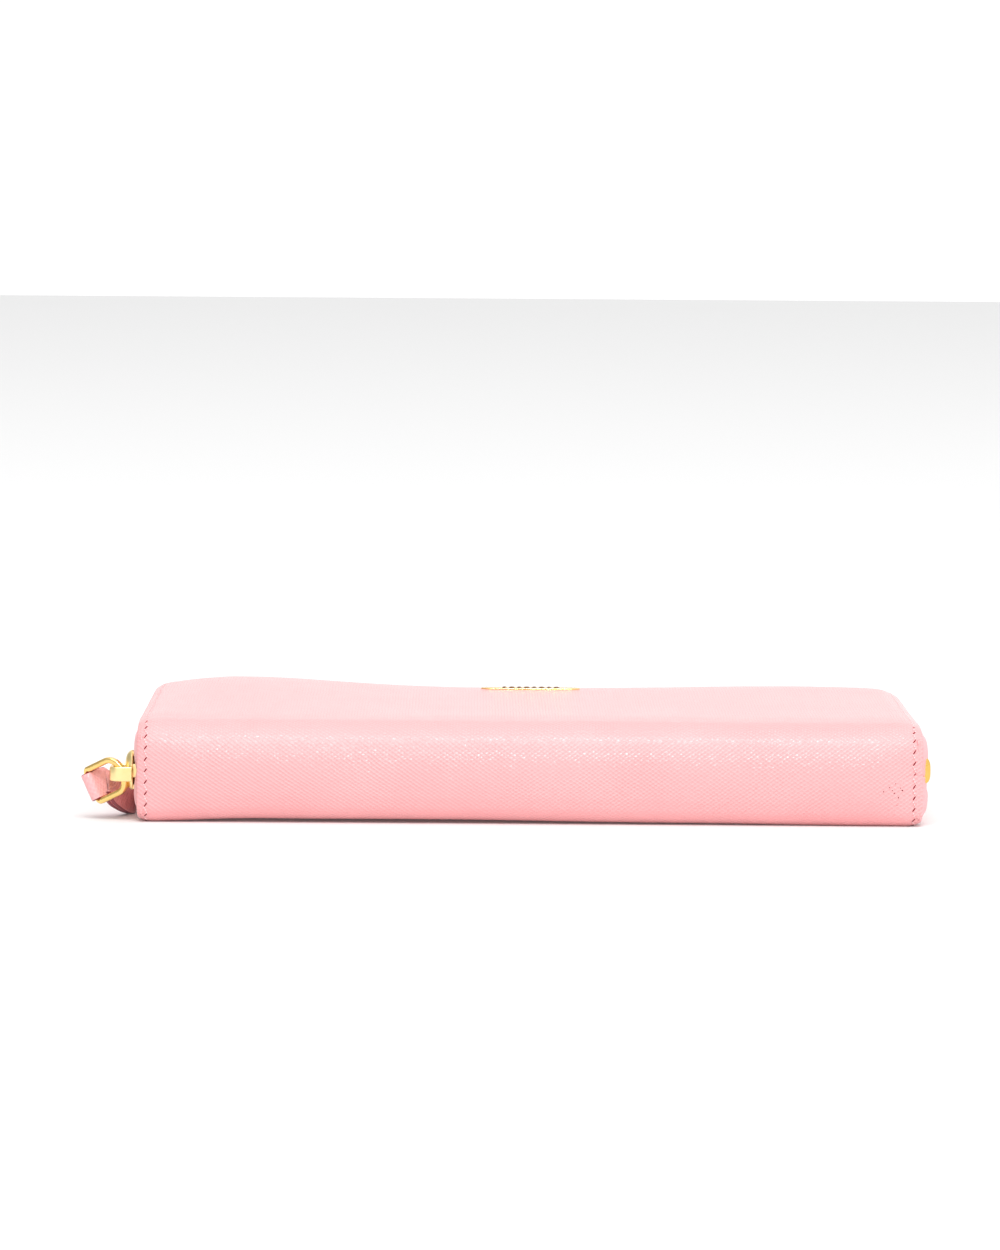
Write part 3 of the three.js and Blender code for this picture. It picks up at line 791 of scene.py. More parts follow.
def sweep(name, centres, wide, thin, section, paint, closed=False, edge_paint=None, sizes=None):
    """Carries a section along centres. wide and thin are the section's two axes at each station."""
    centres = np.asarray(centres, float)
    count = len(centres)
    m = len(section)
    points = []
    uvs = []
    reach = distances(centres)
    around = distances(section)
    for k in range(count):
        grow = (1.0, 1.0) if sizes is None else sizes[k]
        for q, (u, v) in enumerate(section):
            points.append(centres[k] + wide[k] * (u * grow[0]) + thin[k] * (v * grow[1]))
            uvs.append((around[q], reach[k]))
    faces = []
    kinds = []
    loops = count if closed else count - 1
    for k in range(loops):
        k2 = (k + 1) % count
        for q in range(m):
            q2 = (q + 1) % m
            faces.append((k * m + q, k * m + q2, k2 * m + q2, k2 * m + q))
            middle = (section[q] + section[q2]) / 2
            kinds.append(1 if abs(middle[0]) > np.abs(section[:, 0]).max() * 0.93 else 0)
    if not closed:
        faces.append(tuple(range(m))[::-1])
        faces.append(tuple((count - 1) * m + q for q in range(m)))
        kinds += [1, 1]
    # outward faces: the section turns from wide to thin, and the path has to run along their cross
    ahead = centres[1] - centres[0]
    if np.dot(np.cross(wide[0], thin[0]), ahead) < 0:
        faces = [tuple(reversed(f)) for f in faces]
    made = mesh_object(name, points, faces, paint, uvs)
    if edge_paint is not None:
        made.data.materials.append(edge_paint)
        made.data.polygons.foreach_set("material_index", kinds)
    if not closed:
        sharpen(made, set(range(m)) | set(range((count - 1) * m, count * m)))
    return made


def bent_strip(name, spots, z, height, strip, radius, paint, sizes=None):
    """A flat strip that is bent in plan, with its edges up and down."""
    spots = np.array(spots)
    ahead = unit(np.gradient(spots, axis=0))
    centres = np.column_stack([spots, np.full(len(spots), z)])
    up = np.tile([0.0, 0.0, 1.0], (len(spots), 1))
    inward = np.column_stack([ahead[:, 1], -ahead[:, 0], np.zeros(len(spots))])
    section = rounded_section(height, strip, radius)
    return sweep(name, centres, up, inward, section, paint, sizes=sizes)


def smooth_path(knots, step):
    """Evenly spaced points on a Catmull-Rom curve through the knots."""
    p = np.asarray(knots, float)
    p = np.vstack([2 * p[0] - p[1], p, 2 * p[-1] - p[-2]])
    dense = []
    for k in range(1, len(p) - 2):
        for t in np.linspace(0, 1, 24, endpoint=False):
            a, b, c, d = p[k - 1 : k + 3]
            square = (2 * a - 5 * b + 4 * c - d) * t * t
            cube = (3 * b - a - 3 * c + d) * t**3
            dense.append(0.5 * (2 * b + (c - a) * t + square + cube))
    dense = np.array(dense + [p[-2]])
    reach = distances(dense)
    spots = np.linspace(0, reach[-1], max(3, int(round(reach[-1] / step))))
    return np.stack([np.interp(spots, reach, dense[:, k]) for k in range(dense.shape[1])], -1)


# ---- metal -----------------------------------------------------------------------------
def gold_material(name, color, roughness, brushed):
    """Gold plating, clouded and a little rubbed; brushed is how much duller the rubbed spots are."""
    made, tree, shader = material(name)
    g = Graph(tree)
    place = g.place()
    cloud = g.ramp(g.noise(place, 260.0, 3.0), 0.35, 0.75)
    rub = g.ramp(g.noise(place, 900.0, 4.0, 0.7), 0.55, 0.8)
    warm = tuple(c * f for c, f in zip(color[:3], (0.9, 0.82, 0.66))) + (1.0,)
    g.link(g.mix(g.math("MULTIPLY", cloud, 0.5), color, warm), shader.inputs["Base Color"])
    g.link(g.math("MULTIPLY_ADD", rub, brushed, roughness), shader.inputs["Roughness"])
    g.link(g.bump(g.noise(place, 1800.0, 3.0), 0.012 * MM), shader.inputs["Normal"])
    shader.inputs["Metallic"].default_value = 1.0
    return made


GOLD = gold_material("gold_polished", rgba(252, 216, 138), 0.16, 0.12)
GOLD_SATIN = gold_material("gold_satin", rgba(254, 232, 170), 0.34, 0.1)
# painted shade: a dark gold for the ornament's drops, for the shade seen on them
GOLD_PAINTED_SHADE = gold_material("gold_painted_shade", rgba(148, 98, 60), 0.3, 0.2)
GOLD_TEETH = gold_material("gold_teeth", rgba(240, 196, 108), 0.2, 0.15)
# real edge paint on the strap's sides, darkened further as painted shade along its lower edges
EDGE = plain("hide_edge_paint", rgba(158, 78, 88), 0.42)

joints = {j["name"]: j for j in frame["joints"]}


def joint_place(name):
    return np.array(joints[name]["pos_m"]) / MM


# ---- D-ring ----------------------------------------------------------------------------
RING_TIP = math.radians(26)
RING_SWING = math.radians(18)
RING_HALF = 4.25  # half the height of the D
RING_NOSE = 2.9  # how far its round end reaches from the straight arms
RING_BAND = 1.5
RING_DEEP = 2.1
ring_turn = np.array(Matrix.Rotation(-RING_SWING, 3, "Z") @ Matrix.Rotation(-RING_TIP, 3, "Y"))
ring_at = joint_place("ring_swing")
bar_axis = ring_turn @ np.array([0.0, 0.0, 1.0])
ring_length = np.linalg.norm(joint_place("strap_turn") - ring_at)
bar_at = ring_at - ring_turn @ np.array([ring_length, 0.0, 0.0])


def in_ring(p):
    """A point given in the D-ring's own axes, which start at its hinge."""
    return ring_at + np.asarray(p, float) @ ring_turn.T


def build_ring():
    """A flattened wire bent to a D, thinner where it passes through the leather."""
    bend = 1.0
    arm = -ring_length
    knee = arm + bend
    nose_angles = np.radians(np.linspace(-90, 90, 30))
    nose_end = -RING_NOSE - 0.7
    spots = [(-RING_NOSE + RING_NOSE * math.cos(a), RING_HALF * math.sin(a)) for a in nose_angles]
    spots += [(x, RING_HALF) for x in np.linspace(nose_end, knee, 8)]
    spots += arc(knee, RING_HALF - bend, bend, 90, 180, 7)[1:]
    spots += [(arm, z) for z in np.linspace(RING_HALF - bend, -RING_HALF + bend, 10)[1:]]
    spots += arc(knee, -RING_HALF + bend, bend, 180, 270, 7)[1:]
    spots += [(x, -RING_HALF) for x in np.linspace(knee, nose_end, 8)[1:]]
    spots = np.array(spots)
    ahead = unit(np.roll(spots, -1, 0) - np.roll(spots, 1, 0))
    flat = np.stack([spots[:, 0], 0 * spots[:, 0], spots[:, 1]], -1)
    inward = np.stack([-ahead[:, 1], 0 * ahead[:, 0], ahead[:, 0]], -1)
    deep = np.tile([0.0, 1.0, 0.0], (len(spots), 1)) @ ring_turn.T
    near_bar = smooth((arm + bend * 0.9 - spots[:, 0]) / bend)
    sizes = np.column_stack([1 - 0.46 * near_bar, 1 - 0.26 * near_bar])
    section = rounded_section(RING_DEEP, RING_BAND, 0.42)
    inward = inward @ ring_turn.T
    return sweep("d_ring_wire", in_ring(flat), deep, inward, section, GOLD, closed=True, sizes=sizes)


stands_for(build_ring(), "d_ring", "d_ring")

# ---- slider and its bridge -------------------------------------------------------------
slider_low, slider_high = node_box("zip_slider")
bridge_low, bridge_high = node_box("slider_bridge")
_, chain_high = node_box("zip_chain_lower")
CHAIN_THICK = 2.4
CHAIN_PLANE = chain_high[0] - CHAIN_THICK / 2  # of the teeth, from the middle of the wallet
ZIP_MID = (chain_high[2] + node_box("zip_chain_upper")[0][2]) / 2


def build_bridge():
    """A strip bent round in plan: front leg over the nose, far side, rear leg."""
    strip = 0.9
    r = 1.5
    far = bridge_low[0] + strip / 2
    front = bridge_low[1] + strip / 2
    rear = bridge_high[1] - strip / 2
    spots = [(x, front) for x in np.linspace(bridge_high[0], far + r, 8)]
    spots += arc(far + r, front + r, r, -90, -180, 9)[1:]
    spots += [(far, y) for y in np.linspace(front + r, rear - r, 6)[1:]]
    spots += arc(far + r, rear - r, r, 180, 90, 9)[1:]
    spots += [(x, rear) for x in np.linspace(far + r, slider_low[0] - 0.05, 6)[1:]]
    sizes = [(1 - 0.1 * math.sin(q) ** 2, 1.0) for q in np.linspace(0, math.pi, len(spots))]
    z = (bridge_high[2] + bridge_low[2]) / 2
    height = bridge_high[2] - bridge_low[2]
    return bent_strip("slider_bridge_strip", spots, z, height, strip, 0.28, GOLD_SATIN, sizes)


bridge = build_bridge()


def bevelled(made, width, segments=2):
    """Rounds an object's edges, and keeps the result as its mesh."""
    cut = made.modifiers.new("soft_edges", "BEVEL")
    cut.width = width * MM
    cut.segments = segments
    cut.limit_method = "ANGLE"
    cut.angle_limit = math.radians(35)
    bpy.context.view_layer.update()
    final = bpy.data.meshes.new_from_object(made.evaluated_get(bpy.context.evaluated_depsgraph_get()))
    made.modifiers.clear()
    made.data = final
    return made


def shade_smooth(made):
    """Smooth shading, with the sharper edges kept."""
    made.data.polygons.foreach_set("use_smooth", [True] * len(made.data.polygons))
    made.data.set_sharp_from_angle(angle=math.radians(40))
    return made


def join(name, pieces):
    """One object from several, which keep their own closed meshes."""
    whole = bmesh.new()
    for piece in pieces:
        whole.from_mesh(piece.data)
    data = bpy.data.meshes.new(name)
    whole.to_mesh(data)
    whole.free()
    data.materials.append(pieces[0].data.materials[0])
    made = bpy.data.objects.new(name, data)
    scene.collection.objects.link(made)
    for piece in pieces:
        bpy.data.objects.remove(piece)
    return shade_smooth(made)


def slider_outline(half, run):
    """Half outline (along, up): wide round nose, waist drawn in to a narrower tail."""
    tail = half * 0.8
    knots = [(0.01, 0), (0.03, half * 0.62), (0.14, half * 0.97), (0.32, half)]
    knots += [(0.52, tail + half * 0.1), (0.82, tail), (0.96, tail * 0.93), (1, tail * 0.6)]
    knots = [(run * a, z) for a, z in knots]
    side = smooth_path(knots, half * 0.11)
    return [(a, z) for a, z in side] + [(a, -z) for a, z in side[::-1] if z > 0.05]


def crowned_plate(outline, inner, outer, crown):
    """Points (along, normal, up) and faces of a plate whose outer face swells by crown."""
    ring = np.array(outline)
    centre = ring.mean(axis=0)
    t = outer - inner
    edge = ((0.97, 0.0), (1.0, 0.15), (0.99, 0.5), (0.93, 0.95))
    dome = ((0.82, 0.4), (0.64, 0.72), (0.4, 0.92), (0.15, 1.0))
    levels = [(grow, inner + part * t) for grow, part in edge]
    levels += [(grow, outer + part * crown) for grow, part in dome]
    points = []
    for grow, height in levels:
        points += [(p[0], height, p[1]) for p in centre + (ring - centre) * grow]
    return points, tube_faces(0, len(levels), len(ring), flip=True)


def straight_solid(outline, low, high):
    """Points (along, normal, up) and faces of an outline carried straight from low to high."""
    points = [(a, low, z) for a, z in outline] + [(a, high, z) for a, z in outline]
    return points, tube_faces(0, 2, len(outline), flip=True)


def build_slider(name, low, high, along_y, plate, crown):
    """Two crowned plates joined at the nose by a wedge, with lips that hold the tape side."""
    run_axis, face_axis = (1, 0) if along_y else (0, 1)
    start = low[run_axis]
    run = high[run_axis] - start
    half = (high[2] - low[2]) / 2
    middle_z = (high[2] + low[2]) / 2
    lo, hi = low[face_axis], high[face_axis]
    centre = (lo + hi) / 2
    outline = slider_outline(half, run)
    shapes = [
        crowned_plate(outline, lo + plate, lo, -crown),
        crowned_plate(outline, hi - plate, hi, crown * 0.5),
    ]
    inside = (lo + plate * 0.7, hi - plate * 0.7)
    nose = ((0.03, -0.34), (0.03, 0.34), (0.16, 0.38), (0.25, 0.05))
    nose += ((0.38, 0.03), (0.38, -0.03), (0.25, -0.05), (0.16, -0.38))
    shapes.append(straight_solid([(run * a, half * z) for a, z in nose], *inside))
    gap = (hi - lo) * 0.07
    for up in (-1, 1):
        lip = ((0.12, 0.74), (0.9, 0.58), (0.9, 0.76), (0.12, 0.95))
        lip = [(run * a, up * half * z) for a, z in lip]
        shapes.append(straight_solid(lip, inside[0], centre - gap))
        shapes.append(straight_solid(lip, centre + gap, inside[1]))
    pieces = []
    for k, (points, faces) in enumerate(shapes):
        placed = []
        for a, n, z in points:
            spot = [0.0, 0.0, middle_z + z]
            spot[run_axis] = start + a
            spot[face_axis] = n
            placed.append(tuple(spot))
        made = mesh_object(f"{name}_{k}", placed, faces, GOLD_SATIN, smooth=False)
        face_outwards(made)
        pieces.append(made if k < 2 else bevelled(made, plate * 0.12, 2))
    return join(name, pieces)


SLIDER_PLATE = 1.0
SLIDER_CROWN = 1.1
body_low = slider_low + (0.25, 0, 0.3)
body_high = slider_high - (0, 0, 0.3)
slider = build_slider("zip_slider_body", body_low, body_high, True, SLIDER_PLATE, SLIDER_CROWN)
stands_for(slider, "zip_slider", "zip_slider")
stands_for(bridge, "zip_slider", "slider_bridge")


# ---- plan path of the zip --------------------------------------------------------------
def zip_path(inset, step, left_y, right_y):
    """Points (x, y) round the three zip sides, from the left end to the right, and headings."""
    half = HALF - inset
    r = CORNER - inset
    cx = HALF - CORNER
    cy = FAR_Y - CORNER
    line = [(-half, y) for y in np.linspace(left_y, cy, 60)]
    line += arc(-cx, cy, r, 180, 90, 30)[1:]
    line += [(x, FAR_Y - inset) for x in np.linspace(-cx, cx, 80)[1:]]
    line += arc(cx, cy, r, 90, 0, 30)[1:]
    line += [(half, y) for y in np.linspace(cy, right_y, 60)[1:]]
    line = np.array(line)
    reach = distances(line)
    spots = np.linspace(0, reach[-1], int(round(reach[-1] / step)) + 1)
    out = np.stack([np.interp(spots, reach, line[:, 0]), np.interp(spots, reach, line[:, 1])], -1)
    return out, unit(np.gradient(out, axis=0))


ZIP_INSET = HALF - CHAIN_PLANE
TOOTH_PITCH = 2.5
TEETH_FROM_LEFT = SPINE_Y + 6.0
TEETH_FROM_RIGHT = SPINE_Y + 7.2
TOOTH_LEVELS = [  # height from the parting line, length along the zip, thickness
    (-3.0, 1.25, 1.9), (-2.6, 1.5, 2.3), (-1.15, 1.5, 2.4),
    (-0.45, 1.25, 2.2), (0.2, 1.0, 1.7), (0.75, 0.55, 1.1),
]


def add_tooth(points, faces, place, ahead, up):
    """A cast tooth: broad root on the tape, waist and a narrow head past the parting line."""
    out = (-ahead[1], ahead[0])
    first = len(points)
    for level, along, across in TOOTH_LEVELS:
        for q in range(8):
            a = math.radians(22.5 + 45 * q)
            u = max(-1, min(1, math.cos(a) * 1.25)) * along / 2
            v = max(-1, min(1, math.sin(a) * 1.25)) * across / 2
            x, y = (place[i] + ahead[i] * u + out[i] * v for i in (0, 1))
            points.append((x, y, ZIP_MID + up * level))
    faces += tube_faces(first, len(TOOTH_LEVELS), 8, flip=up < 0)


def teeth_row(name, upper, keep):
    """One row of teeth, half a pitch away from the other. The upper one starts past the slider."""
    left = slider_high[1] + 1.2 if upper else TEETH_FROM_LEFT
    spots, ahead = zip_path(ZIP_INSET, TOOTH_PITCH / 2, TEETH_FROM_LEFT, TEETH_FROM_RIGHT)
    points, faces = [], []
    for k in range(1 if upper else 0, len(spots), 2):
        p = spots[k]
        if p[0] < 0 and p[1] < left:
            continue
        if keep(p):
            add_tooth(points, faces, p, ahead[k], -1 if upper else 1)
    return mesh_object(name, points, faces, GOLD_TEETH, smooth=False)


END_FROM_Y = SPINE_Y + 16.5  # the last stretch at the right, which runs to the stop on the spine


def at_stop(p):
    return p[0] > 0 and p[1] < END_FROM_Y


def short_of_stop(p):
    return not at_stop(p)


ZIP_HALVES = (("lower", "back_cover"), ("upper", "front_cover"))


def gather(piece):
    """Keeps the last stretch where it was built; it rides no body."""
    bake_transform(piece)


for word, cover in ZIP_HALVES:
    row = teeth_row(f"zip_teeth_{word}", word == "upper", short_of_stop)
    stands_for(row, cover, f"zip_chain_{word}")
for word, cover in ZIP_HALVES:
    gather(teeth_row(f"zip_teeth_end_{word}", word == "upper", at_stop))


# ---- zip tape --------------------------------------------------------------------------
def tape_material():
    """A ribbed weave."""
    made, tree, shader = material("zip_tape_weave")
    g = Graph(tree)
    along, across, _ = g.split(g.hide_map())
    turns = 2 * math.pi / (0.62 * MM)
    ribs = g.math("SINE", g.math("MULTIPLY", along, turns))
    rows = g.math("SINE", g.math("MULTIPLY", across, turns * 1.3))
    weave = g.math("MULTIPLY_ADD", g.math("MULTIPLY", ribs, rows), 0.5, 0.5)
    g.link(g.mix(weave, rgba(240, 164, 168), rgba(251, 190, 193)), shader.inputs["Base Color"])
    g.link(g.bump(weave, 0.04 * MM), shader.inputs["Normal"])
    shader.inputs["Roughness"].default_value = 0.8
    shader.inputs["Sheen Weight"].default_value = 0.25
    return made


TAPE = tape_material()


TAPE_FROM = 0.95  # where the tape's ends begin, behind the spine's face
TAPE_STEP = 1.5
PANEL_GAP = 0.6  # between the tape's top and the panel above it


def under_panel(x, y):
    """Height of the front panel's underside above the zip, a little way in from the edge."""
    in_from_edge = 3.0
    inner_x = x * (HALF - in_from_edge) / HALF
    past_fold = min(y, FAR_Y - in_from_edge) - SPINE_Y - UPPER.fold
    s = UPPER.rise + UPPER.turn + max(past_fold, 0.0)
    drop = 0.0
    if past_fold < 0:
        inner = UPPER.fold - LEATHER - PANEL_GAP
        drop = inner - math.sqrt(max(inner**2 - min(-past_fold, inner) ** 2, 0.0))
    return float(UPPER.point(inner_x, s)[2]) - LEATHER - PANEL_GAP - drop - ZIP_MID


def tape_strip(name, upper, keep_right_end):
    """Woven tape from under the leather's rim, bulging out a little, to the teeth."""
    spots, ahead = zip_path(ZIP_INSET, TAPE_STEP, SPINE_Y + TAPE_FROM, SPINE_Y + TAPE_FROM)
    if keep_right_end:
        chosen = [k for k, (x, y) in enumerate(spots) if x > 0 and y <= END_FROM_Y + TAPE_STEP]
    else:
        chosen = [k for k, spot in enumerate(spots) if short_of_stop(spot)]
    teeth_z = 2.45  # the tape's edge on the roots of the teeth
    end_z = 0.3  # and past the last tooth, from the parting line
    base = 0.3 if keep_right_end else 0.35
    rows = 12
    grid = np.zeros((rows, len(chosen), 3))
    uv = np.zeros((rows, len(chosen), 2))
    for c, k in enumerate(chosen):
        out = np.array([-ahead[k][1], ahead[k][0]])
        x, y = spots[k]
        chain_z = end_z + (teeth_z - end_z) * smooth((y - SPINE_Y - 4.0) / 2.5)
        top = under_panel(x, y) if upper else ZIP_MID - 1.6
        for i in range(rows):
            q = i / (rows - 1)
            height = chain_z + (top - chain_z) * q
            swell = 0.55 * math.sin(math.pi * min(1, q * 1.15)) ** 0.8
            swell -= 0.9 * smooth((q - 0.75) / 0.25)
            wave = 0.12 * math.sin(k * 0.37) * math.sin(math.pi * q)
            near_stop = (1 - smooth((height - 2.9) / 1.5)) * (1 - smooth((y - SPINE_Y - 5.0) / 3.0))
            full = (swell + wave) * (1 - near_stop if keep_right_end else 1.0)
            tucked = 1 - smooth((y - SPINE_Y - TAPE_FROM) / 3.2)
            past_spine = 1 - smooth((y - SPINE_Y - 5.0) / 9.0)
            pushed = (0.7 + 0.3 * near_stop) * past_spine if keep_right_end else 0.0
            place = spots[k] + out * ((base + pushed + full) * (1 - tucked) - 0.25 * tucked)
            grid[i, c] = (place[0], place[1], ZIP_MID + (height if upper else -height))
            uv[i, c] = (k * TAPE_STEP, height)
    return sheet_solid(name, grid, uv, 0.55, TAPE, flip=upper)


for word, cover in ZIP_HALVES:
    tape = tape_strip(f"zip_tape_{word}_weave", word == "upper", False)
    stands_for(tape, cover, f"zip_tape_{word}")
for word, cover in ZIP_HALVES:
    gather(tape_strip(f"zip_tape_end_{word}_weave", word == "upper", True))

# ---- wrist strap -----------------------------------------------------------------------
STRAP_X = -99.95
STRAP_Z = 3.5
STRAP_WIDE = 7.0
STRAP_LAYER = 1.05
STRAP_GAP = 0.59  # from the middle of the two layers to the middle of one
FOLD_RADIUS = 1.12
DOUBLE_TO = 43.5  # where the two layers part into the hand loop
LOOP_ROUTE = [  # (x, distance from the spine)
    (-101.25, 101), (-100.75, 110), (-94, 119), (-82, 123.4), (-70, 121), (-65.5, 115.5),
    (-70, 110.6), (-80, 109), (-90, 107.4), (-96.3, 103.4), (-99.35, 96.5),
]
away = unit(ring_turn @ np.array([0.55, 0.83, 0.0]))
away = unit(away - bar_axis * float(np.dot(away, bar_axis)))
bar_side = np.cross(away, bar_axis)


def strap_stations():
    """Centres, across vectors and face normals of one closed band: the outer layer from the fold
    out to the hand loop, round it, and back along the inner layer."""
    knots = [bar_at + away * 1.2, bar_at + away * 4.0, (-104.25, -39.5, 6.6), (-101.85, -35.0, 4.7)]
    knots += [(STRAP_X, -30.0, STRAP_Z), (STRAP_X, -27.0, STRAP_Z)]
    neck = smooth_path(knots, 0.8)
    ahead = unit(np.gradient(neck, axis=0))
    q = smooth(np.linspace(0, 1, len(neck)) / 0.8)[:, None]
    wide = unit(bar_axis * (1 - q) + np.array([0.0, 0.0, 1.0]) * q)
    face = unit(np.cross(ahead, wide))
    wide = unit(np.cross(face, ahead))
    spread = STRAP_GAP + 0.2 * np.clip(1 - np.arange(len(neck)) / 4, 0, 1)[:, None]
    straight = np.arange(neck[-1][1] + 1.6, DOUBLE_TO, 1.9)
    up = np.array([0.0, 0.0, 1.0])

    def layer(side, order):
        rows = [(neck[k] + face[k] * side * spread[k], wide[k], face[k]) for k in range(len(neck))]
        rows += [((STRAP_X + side * STRAP_GAP, y, STRAP_Z), up, (1.0, 0.0, 0.0)) for y in straight]
        return rows[::order]

    out_bound = layer(-1, 1)
    route = [(STRAP_X - STRAP_GAP, DOUBLE_TO - 2.0)]
    route += [(x, SPINE_Y + d) for x, d in LOOP_ROUTE]
    route += [(STRAP_X + STRAP_GAP, DOUBLE_TO - 2.0)]
    loop = smooth_path(route, 1.1)[2:-2]
    heading = unit(np.gradient(loop, axis=0))
    turned = [((x, y, STRAP_Z), up, (wy, -wx, 0.0)) for (x, y), (wx, wy) in zip(loop, heading)]
    home_bound = [(c, w, -np.asarray(f)) for c, w, f in layer(1, -1)]
    wrap = []
    for a in np.radians(np.linspace(100, -100, 21)):
        n = -away * math.cos(a) + bar_side * math.sin(a)
        wrap.append((bar_at + n * FOLD_RADIUS, bar_axis, -n))
    rows = out_bound + turned + home_bound + wrap
    centres, wides, faces = (np.array([r[k] for r in rows], float) for k in range(3))
    return centres, wides, faces, 2 * len(out_bound) + len(turned)


strap_centres, strap_wides, strap_faces, STITCHED = strap_stations()  # all but the fold is sewn


def build_strap():
    """The whole band, skived thinner near the ring's bar."""
    section = rounded_section(STRAP_WIDE, STRAP_LAYER, 0.36)
    wave = 1 + 0.012 * np.sin(np.arange(len(strap_centres)) * 0.45)
    from_bar = np.linalg.norm(strap_centres - bar_at, axis=1)
    skived = 0.78 + 0.22 * smooth((from_bar - 1.5) / 6.0)
    return sweep(
        "wrist_strap_band", strap_centres, strap_wides, strap_faces, section, STRAP_HIDE_PAINTED_LIGHTER,
        closed=True, edge_paint=EDGE, sizes=np.column_stack([wave, skived]),
    )


strap = build_strap()


def capsule_between(points, faces, uvs, a, b, radius):
    """A short rounded thread from a to b."""
    first = len(points)
    way = unit(np.asarray(b, float) - a)
    side = unit(np.cross(way, (0.31, 0.2, 0.93)))
    top = np.cross(way, side)
    levels = [(0.0, 0.45), (0.12, 0.85), (0.5, 1.0), (0.88, 0.85), (1.0, 0.45)]
    length = np.linalg.norm(np.asarray(b, float) - a)
    for share, grow in levels:
        for q in range(6):
            t = math.radians(60 * q)
            p = a + way * (length * share) + (side * math.cos(t) + top * math.sin(t)) * (radius * grow)
            points.append(p)
            uvs.append((share * length, q * 1000.0))
    faces += tube_faces(first, len(levels), 6)


def thread_object(name, lines):
    points, faces, uvs = lines
    return mesh_object(name, points, faces, THREAD, uvs)


STITCHES_FROM_Y = -26.0


def strap_stitches():
    """Two rows on the strap's outside, along the doubled part and round the hand loop."""
    sewn = [k for k in range(STITCHED) if strap_centres[k][1] > STITCHES_FROM_Y]
    path = strap_centres[sewn[0] : sewn[-1] + 1]
    up = strap_wides[sewn[0] : sewn[-1] + 1]
    out = -strap_faces[sewn[0] : sewn[-1] + 1]
    reach = distances(path)
    lines = ([], [], [])
    pitch = 2.6

    def at(table, spot):
        return np.array([np.interp(spot, reach, table[:, k]) for k in range(3)])

    for spot in np.arange(1.0, reach[-1] - 1.0, pitch):
        middle = at(path, spot + pitch / 2)
        n = unit(at(out, spot + pitch / 2))
        if middle[0] > STRAP_X and middle[1] < DOUBLE_TO:
            continue  # against the wallet
        proud = n * (STRAP_LAYER / 2 + 0.02)
        for side in (-1, 1):
            shift = side * (STRAP_WIDE / 2 - 1.0)
            a = at(path, spot) + at(up, spot) * (shift + 0.1) + proud
            b = at(path, spot + pitch * 0.7) + at(up, spot) * (shift - 0.1) + proud
            capsule_between(*lines, a, b, 0.19)
    return thread_object("wrist_strap_stitches", lines)


strap_thread = strap_stitches()
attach(strap_thread, "wrist_strap")
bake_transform(strap)
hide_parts("strap_fold")
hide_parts("wrist_strap")

# ---- ornament --------------------------------------------------------------------------
orn_low, orn_high = node_box("ornament_bar")


def build_ornament():
    """A slim gold strip, and the row of cast drops on it, painted dark gold as shade."""
    middle_y = (orn_low[1] + orn_high[1]) / 2
    depth = orn_high[1] - orn_low[1]
    x0 = orn_low[0] + 0.1
    x1 = orn_high[0] + 1.5
    base = orn_low[2] - 0.3
    top = base + 0.35
    outline = arc(x1 - depth / 2, middle_y, depth / 2, -90, 90, 13)
    outline += arc(x0 + depth / 2, middle_y, depth / 2, 90, 270, 13)
    points = [(x, y, z) for z in (base, top) for x, y in outline]
    faces = tube_faces(0, 2, len(outline))
    strip = bevelled(mesh_object("ornament_strip", points, faces, GOLD, smooth=False), 0.14)
    drops = []
    count = 8
    pitch = 1.95
    tall = 0.34
    for k in range(count):
        cx = (x0 + x1) / 2 + (k - (count - 1) / 2) * pitch
        wide = pitch * (0.36 if k % 2 else 0.28)
        deep = depth * (0.26 if k % 2 else 0.34)
        rings, around = 6, 20
        points = [(cx, middle_y, top + tall)]
        for i in range(1, rings + 1):
            t = math.pi / 2 * i / rings
            for q in range(around):
                a = 2 * math.pi * q / around
                reach = math.sin(t) * (1 + 0.08 * math.cos(4 * a))
                z = top + tall * math.cos(t) ** 0.7
                points.append((cx + wide * reach * math.cos(a), middle_y + deep * reach * math.sin(a), z))
        for q in range(around):
            x, y, _ = points[1 + (rings - 1) * around + q]
            points.append((x, y, top - 0.15))
        faces = [(0, 1 + q, 1 + (q + 1) % around) for q in range(around)]
        walls = tube_faces(1, rings + 1, around, flip=True)
        faces += walls[:-2] + walls[-1:]  # the fan closes the top instead of a flat face
        drops.append(mesh_object(f"ornament_drop_{k}", points, faces, GOLD_PAINTED_SHADE))
    return join("ornament_strip_cast", [strip]), join("ornament_drops_cast", drops)


ornament, drops = build_ornament()
for piece in (ornament, drops):
    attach(piece, "front_cover")
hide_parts("ornament_bar")

# ---- end stop --------------------------------------------------------------------------
stop_low, stop_high = node_box("zip_bottom_stop")


STOP_OUT, STOP_UP = 0.55, 1.3  # from the middle of the CAD stop, as the photo shows it


def build_stop():
    """A clamped staple with rounded ends, across both tapes."""
    half_z = (stop_high[2] - stop_low[2]) / 2 + 0.25
    half_x = (stop_high[0] - stop_low[0]) / 2 - 0.25
    middle = (stop_high[2] + stop_low[2]) / 2 + STOP_UP
    cx = (stop_high[0] + stop_low[0]) / 2 + STOP_OUT
    outline = []
    for k in range(32):
        a = 2 * math.pi * k / 32
        x = cx + half_x * math.copysign(abs(math.cos(a)) ** 0.6, math.cos(a))
        outline.append((x, middle + half_z * math.copysign(abs(math.sin(a)) ** 0.8, math.sin(a))))
    points, faces = straight_solid(outline, stop_low[1], stop_high[1])
    made = mesh_object("zip_end_stop", points, faces, GOLD_TEETH, smooth=False)
    return shade_smooth(bevelled(made, 0.35, 3))


stands_for(build_stop(), "spine", "zip_bottom_stop")

# ---- worn specks -----------------------------------------------------------------------
SPECK = plain("speck_wear", rgba(128, 44, 56), 0.7, specular=0.05)
SPECKS = [  # (x, height)
    (87.45, 9.0), (88.95, 10.0), (89.65, 9.3), (90.15, 8.6), (90.45, 11.0),
    (91.15, 7.5), (91.65, 9.9), (92.15, 9.3), (90.85, 5.6),
]


